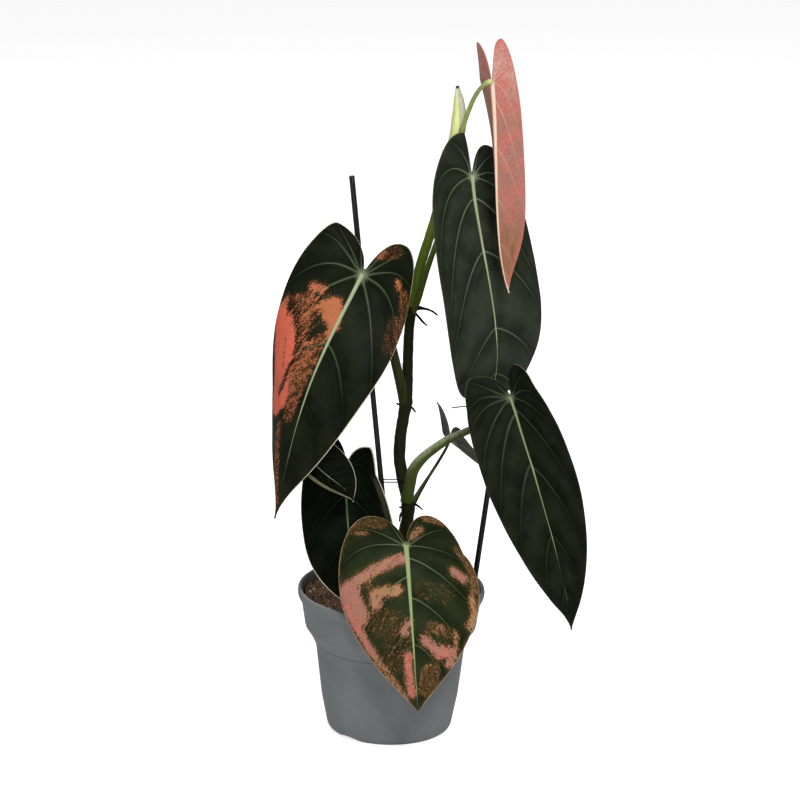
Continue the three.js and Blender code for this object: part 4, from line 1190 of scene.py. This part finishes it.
TIE_LEFT = [(-13.4, 10.5, 203.6), (-11, 13.4, 203), (-6, 12.6, 203.8), (3, 7.6, 205.6),
            (10.5, 5.8, 206.2), (14.3, 1.5, 207), (13.5, -3.2, 208), (8.5, -5.9, 208),
            (2.6, -3.8, 207), (-5, 1.8, 205), (-11, 6.8, 203.7)]
TIE_RIGHT = [(78.5, -13, 266), (82, -18, 267.5), (87, -16.5, 272.5), (88.5, -2, 272),
             (88, 7.5, 271), (84.6, 10.8, 270.5), (81.2, 7.5, 270), (79.6, -2, 268)]
TIE_TAIL = [(79.6, -2, 268), (72, -4, 270.5), (64, -5, 271), (54, -8, 272), (45, -12, 272)]
wire = [(0, WIRE), (1, WIRE)]
for name, loop, tails in (("tie_left", TIE_LEFT, []), ("tie_right", TIE_RIGHT, [TIE_TAIL])):
    tubes = [tube(loop, wire, 10, 120, closed=True), *(tube(tail, wire, 10, 50) for tail in tails)]
    finish_piece(join_tubes(name + "_wire", mat_tie, tubes), "tie", name)
print("stakes and ties: 4")

# %% [markdown]
# ## Stage, light and camera
#
# The plant stands on a white sweep in soft light. The camera is far away with a long lens, a
# little above the pot, so the plant is seen almost without perspective.

# %% Stage
FLOOR_DROP = 0.3 * MM    # the floor lies this much under the pot, so that they don't flicker


def seen_by_camera(tree, otherwise, seen):
    """A value that is one thing for the camera and another for the light that bounces about."""
    ray, level = tree.nodes.new("ShaderNodeLightPath"), tree.nodes.new("ShaderNodeMapRange")
    level.inputs[3].default_value, level.inputs[4].default_value = otherwise, seen
    tree.links.new(ray.outputs["Is Camera Ray"], level.inputs[0])
    return level.outputs[0]


n = Nodes("white_sweep")
mat_floor = n.set(
    Base_Color=rgb(235, 235, 235), Roughness=0.9, Specular_IOR_Level=0.0,
    Emission_Color=rgb(255, 255, 255), Emission_Strength=seen_by_camera(n.tree, 0.0, 0.72))
corners = [(x, y, -FLOOR_DROP) for x, y in ((-9, -9), (9, -9), (9, 30), (-9, 30))]
floor = new_object("floor", corners, [[0, 1, 2, 3]], mat_floor)
world = bpy.data.worlds.new("studio")
bpy.context.scene.world = world
world.use_nodes = True
background = world.node_tree.nodes["Background"]
background.inputs[0].default_value = (1, 1, 1, 1)
world.node_tree.links.new(seen_by_camera(world.node_tree, 0.2, 1.0), background.inputs[1])


def soft_box(name, where, aim, size, power):
    light = bpy.data.lights.new(name, "AREA")
    light.shape, light.size, light.energy = "DISK", size, power
    obj = add_object(name, light)
    obj.location = Vector(where)
    obj.rotation_euler = (Vector(aim) - Vector(where)).to_track_quat("-Z", "Y").to_euler()


soft_box("key", (0.5, -1.6, 2.1), (0.02, 0, 0.28), 0.7, 46)
soft_box("fill", (-0.3, -2.4, 0.7), (0, 0, 0.25), 1.0, 12)
soft_box("back", (-0.5, 1.5, 1.6), (0, 0, 0.35), 1.0, 16)
print("lights:", len(bpy.data.lights))

# %% Camera
ELEVATION, ROLL = math.radians(16.9), math.radians(1.0)
DISTANCE, AIM = 3.0, Vector((0.0043, 0, 0.277))
SENSOR, FOCUS_PIXELS, PHOTO_PIXELS = 36, 3797, 800
forward = Vector((0, math.cos(ELEVATION), -math.sin(ELEVATION)))
right, up = Vector((1, 0, 0)), Vector((0, math.sin(ELEVATION), math.cos(ELEVATION)))
rolled_right = right * math.cos(ROLL) + up * math.sin(ROLL)
rolled_up = up * math.cos(ROLL) - right * math.sin(ROLL)
camera_data = bpy.data.cameras.new("camera")
camera_data.sensor_width, camera_data.lens = SENSOR, FOCUS_PIXELS / PHOTO_PIXELS * SENSOR
camera = add_object("camera", camera_data)
camera.matrix_world = Matrix((
    (*rolled_right, 0), (*rolled_up, 0), (*-forward, 0), (*(AIM - forward * DISTANCE), 1))
    ).transposed()
bpy.context.scene.camera = camera
bpy.context.scene.view_settings.view_transform = "Standard"
print("lens:", round(camera_data.lens, 1))
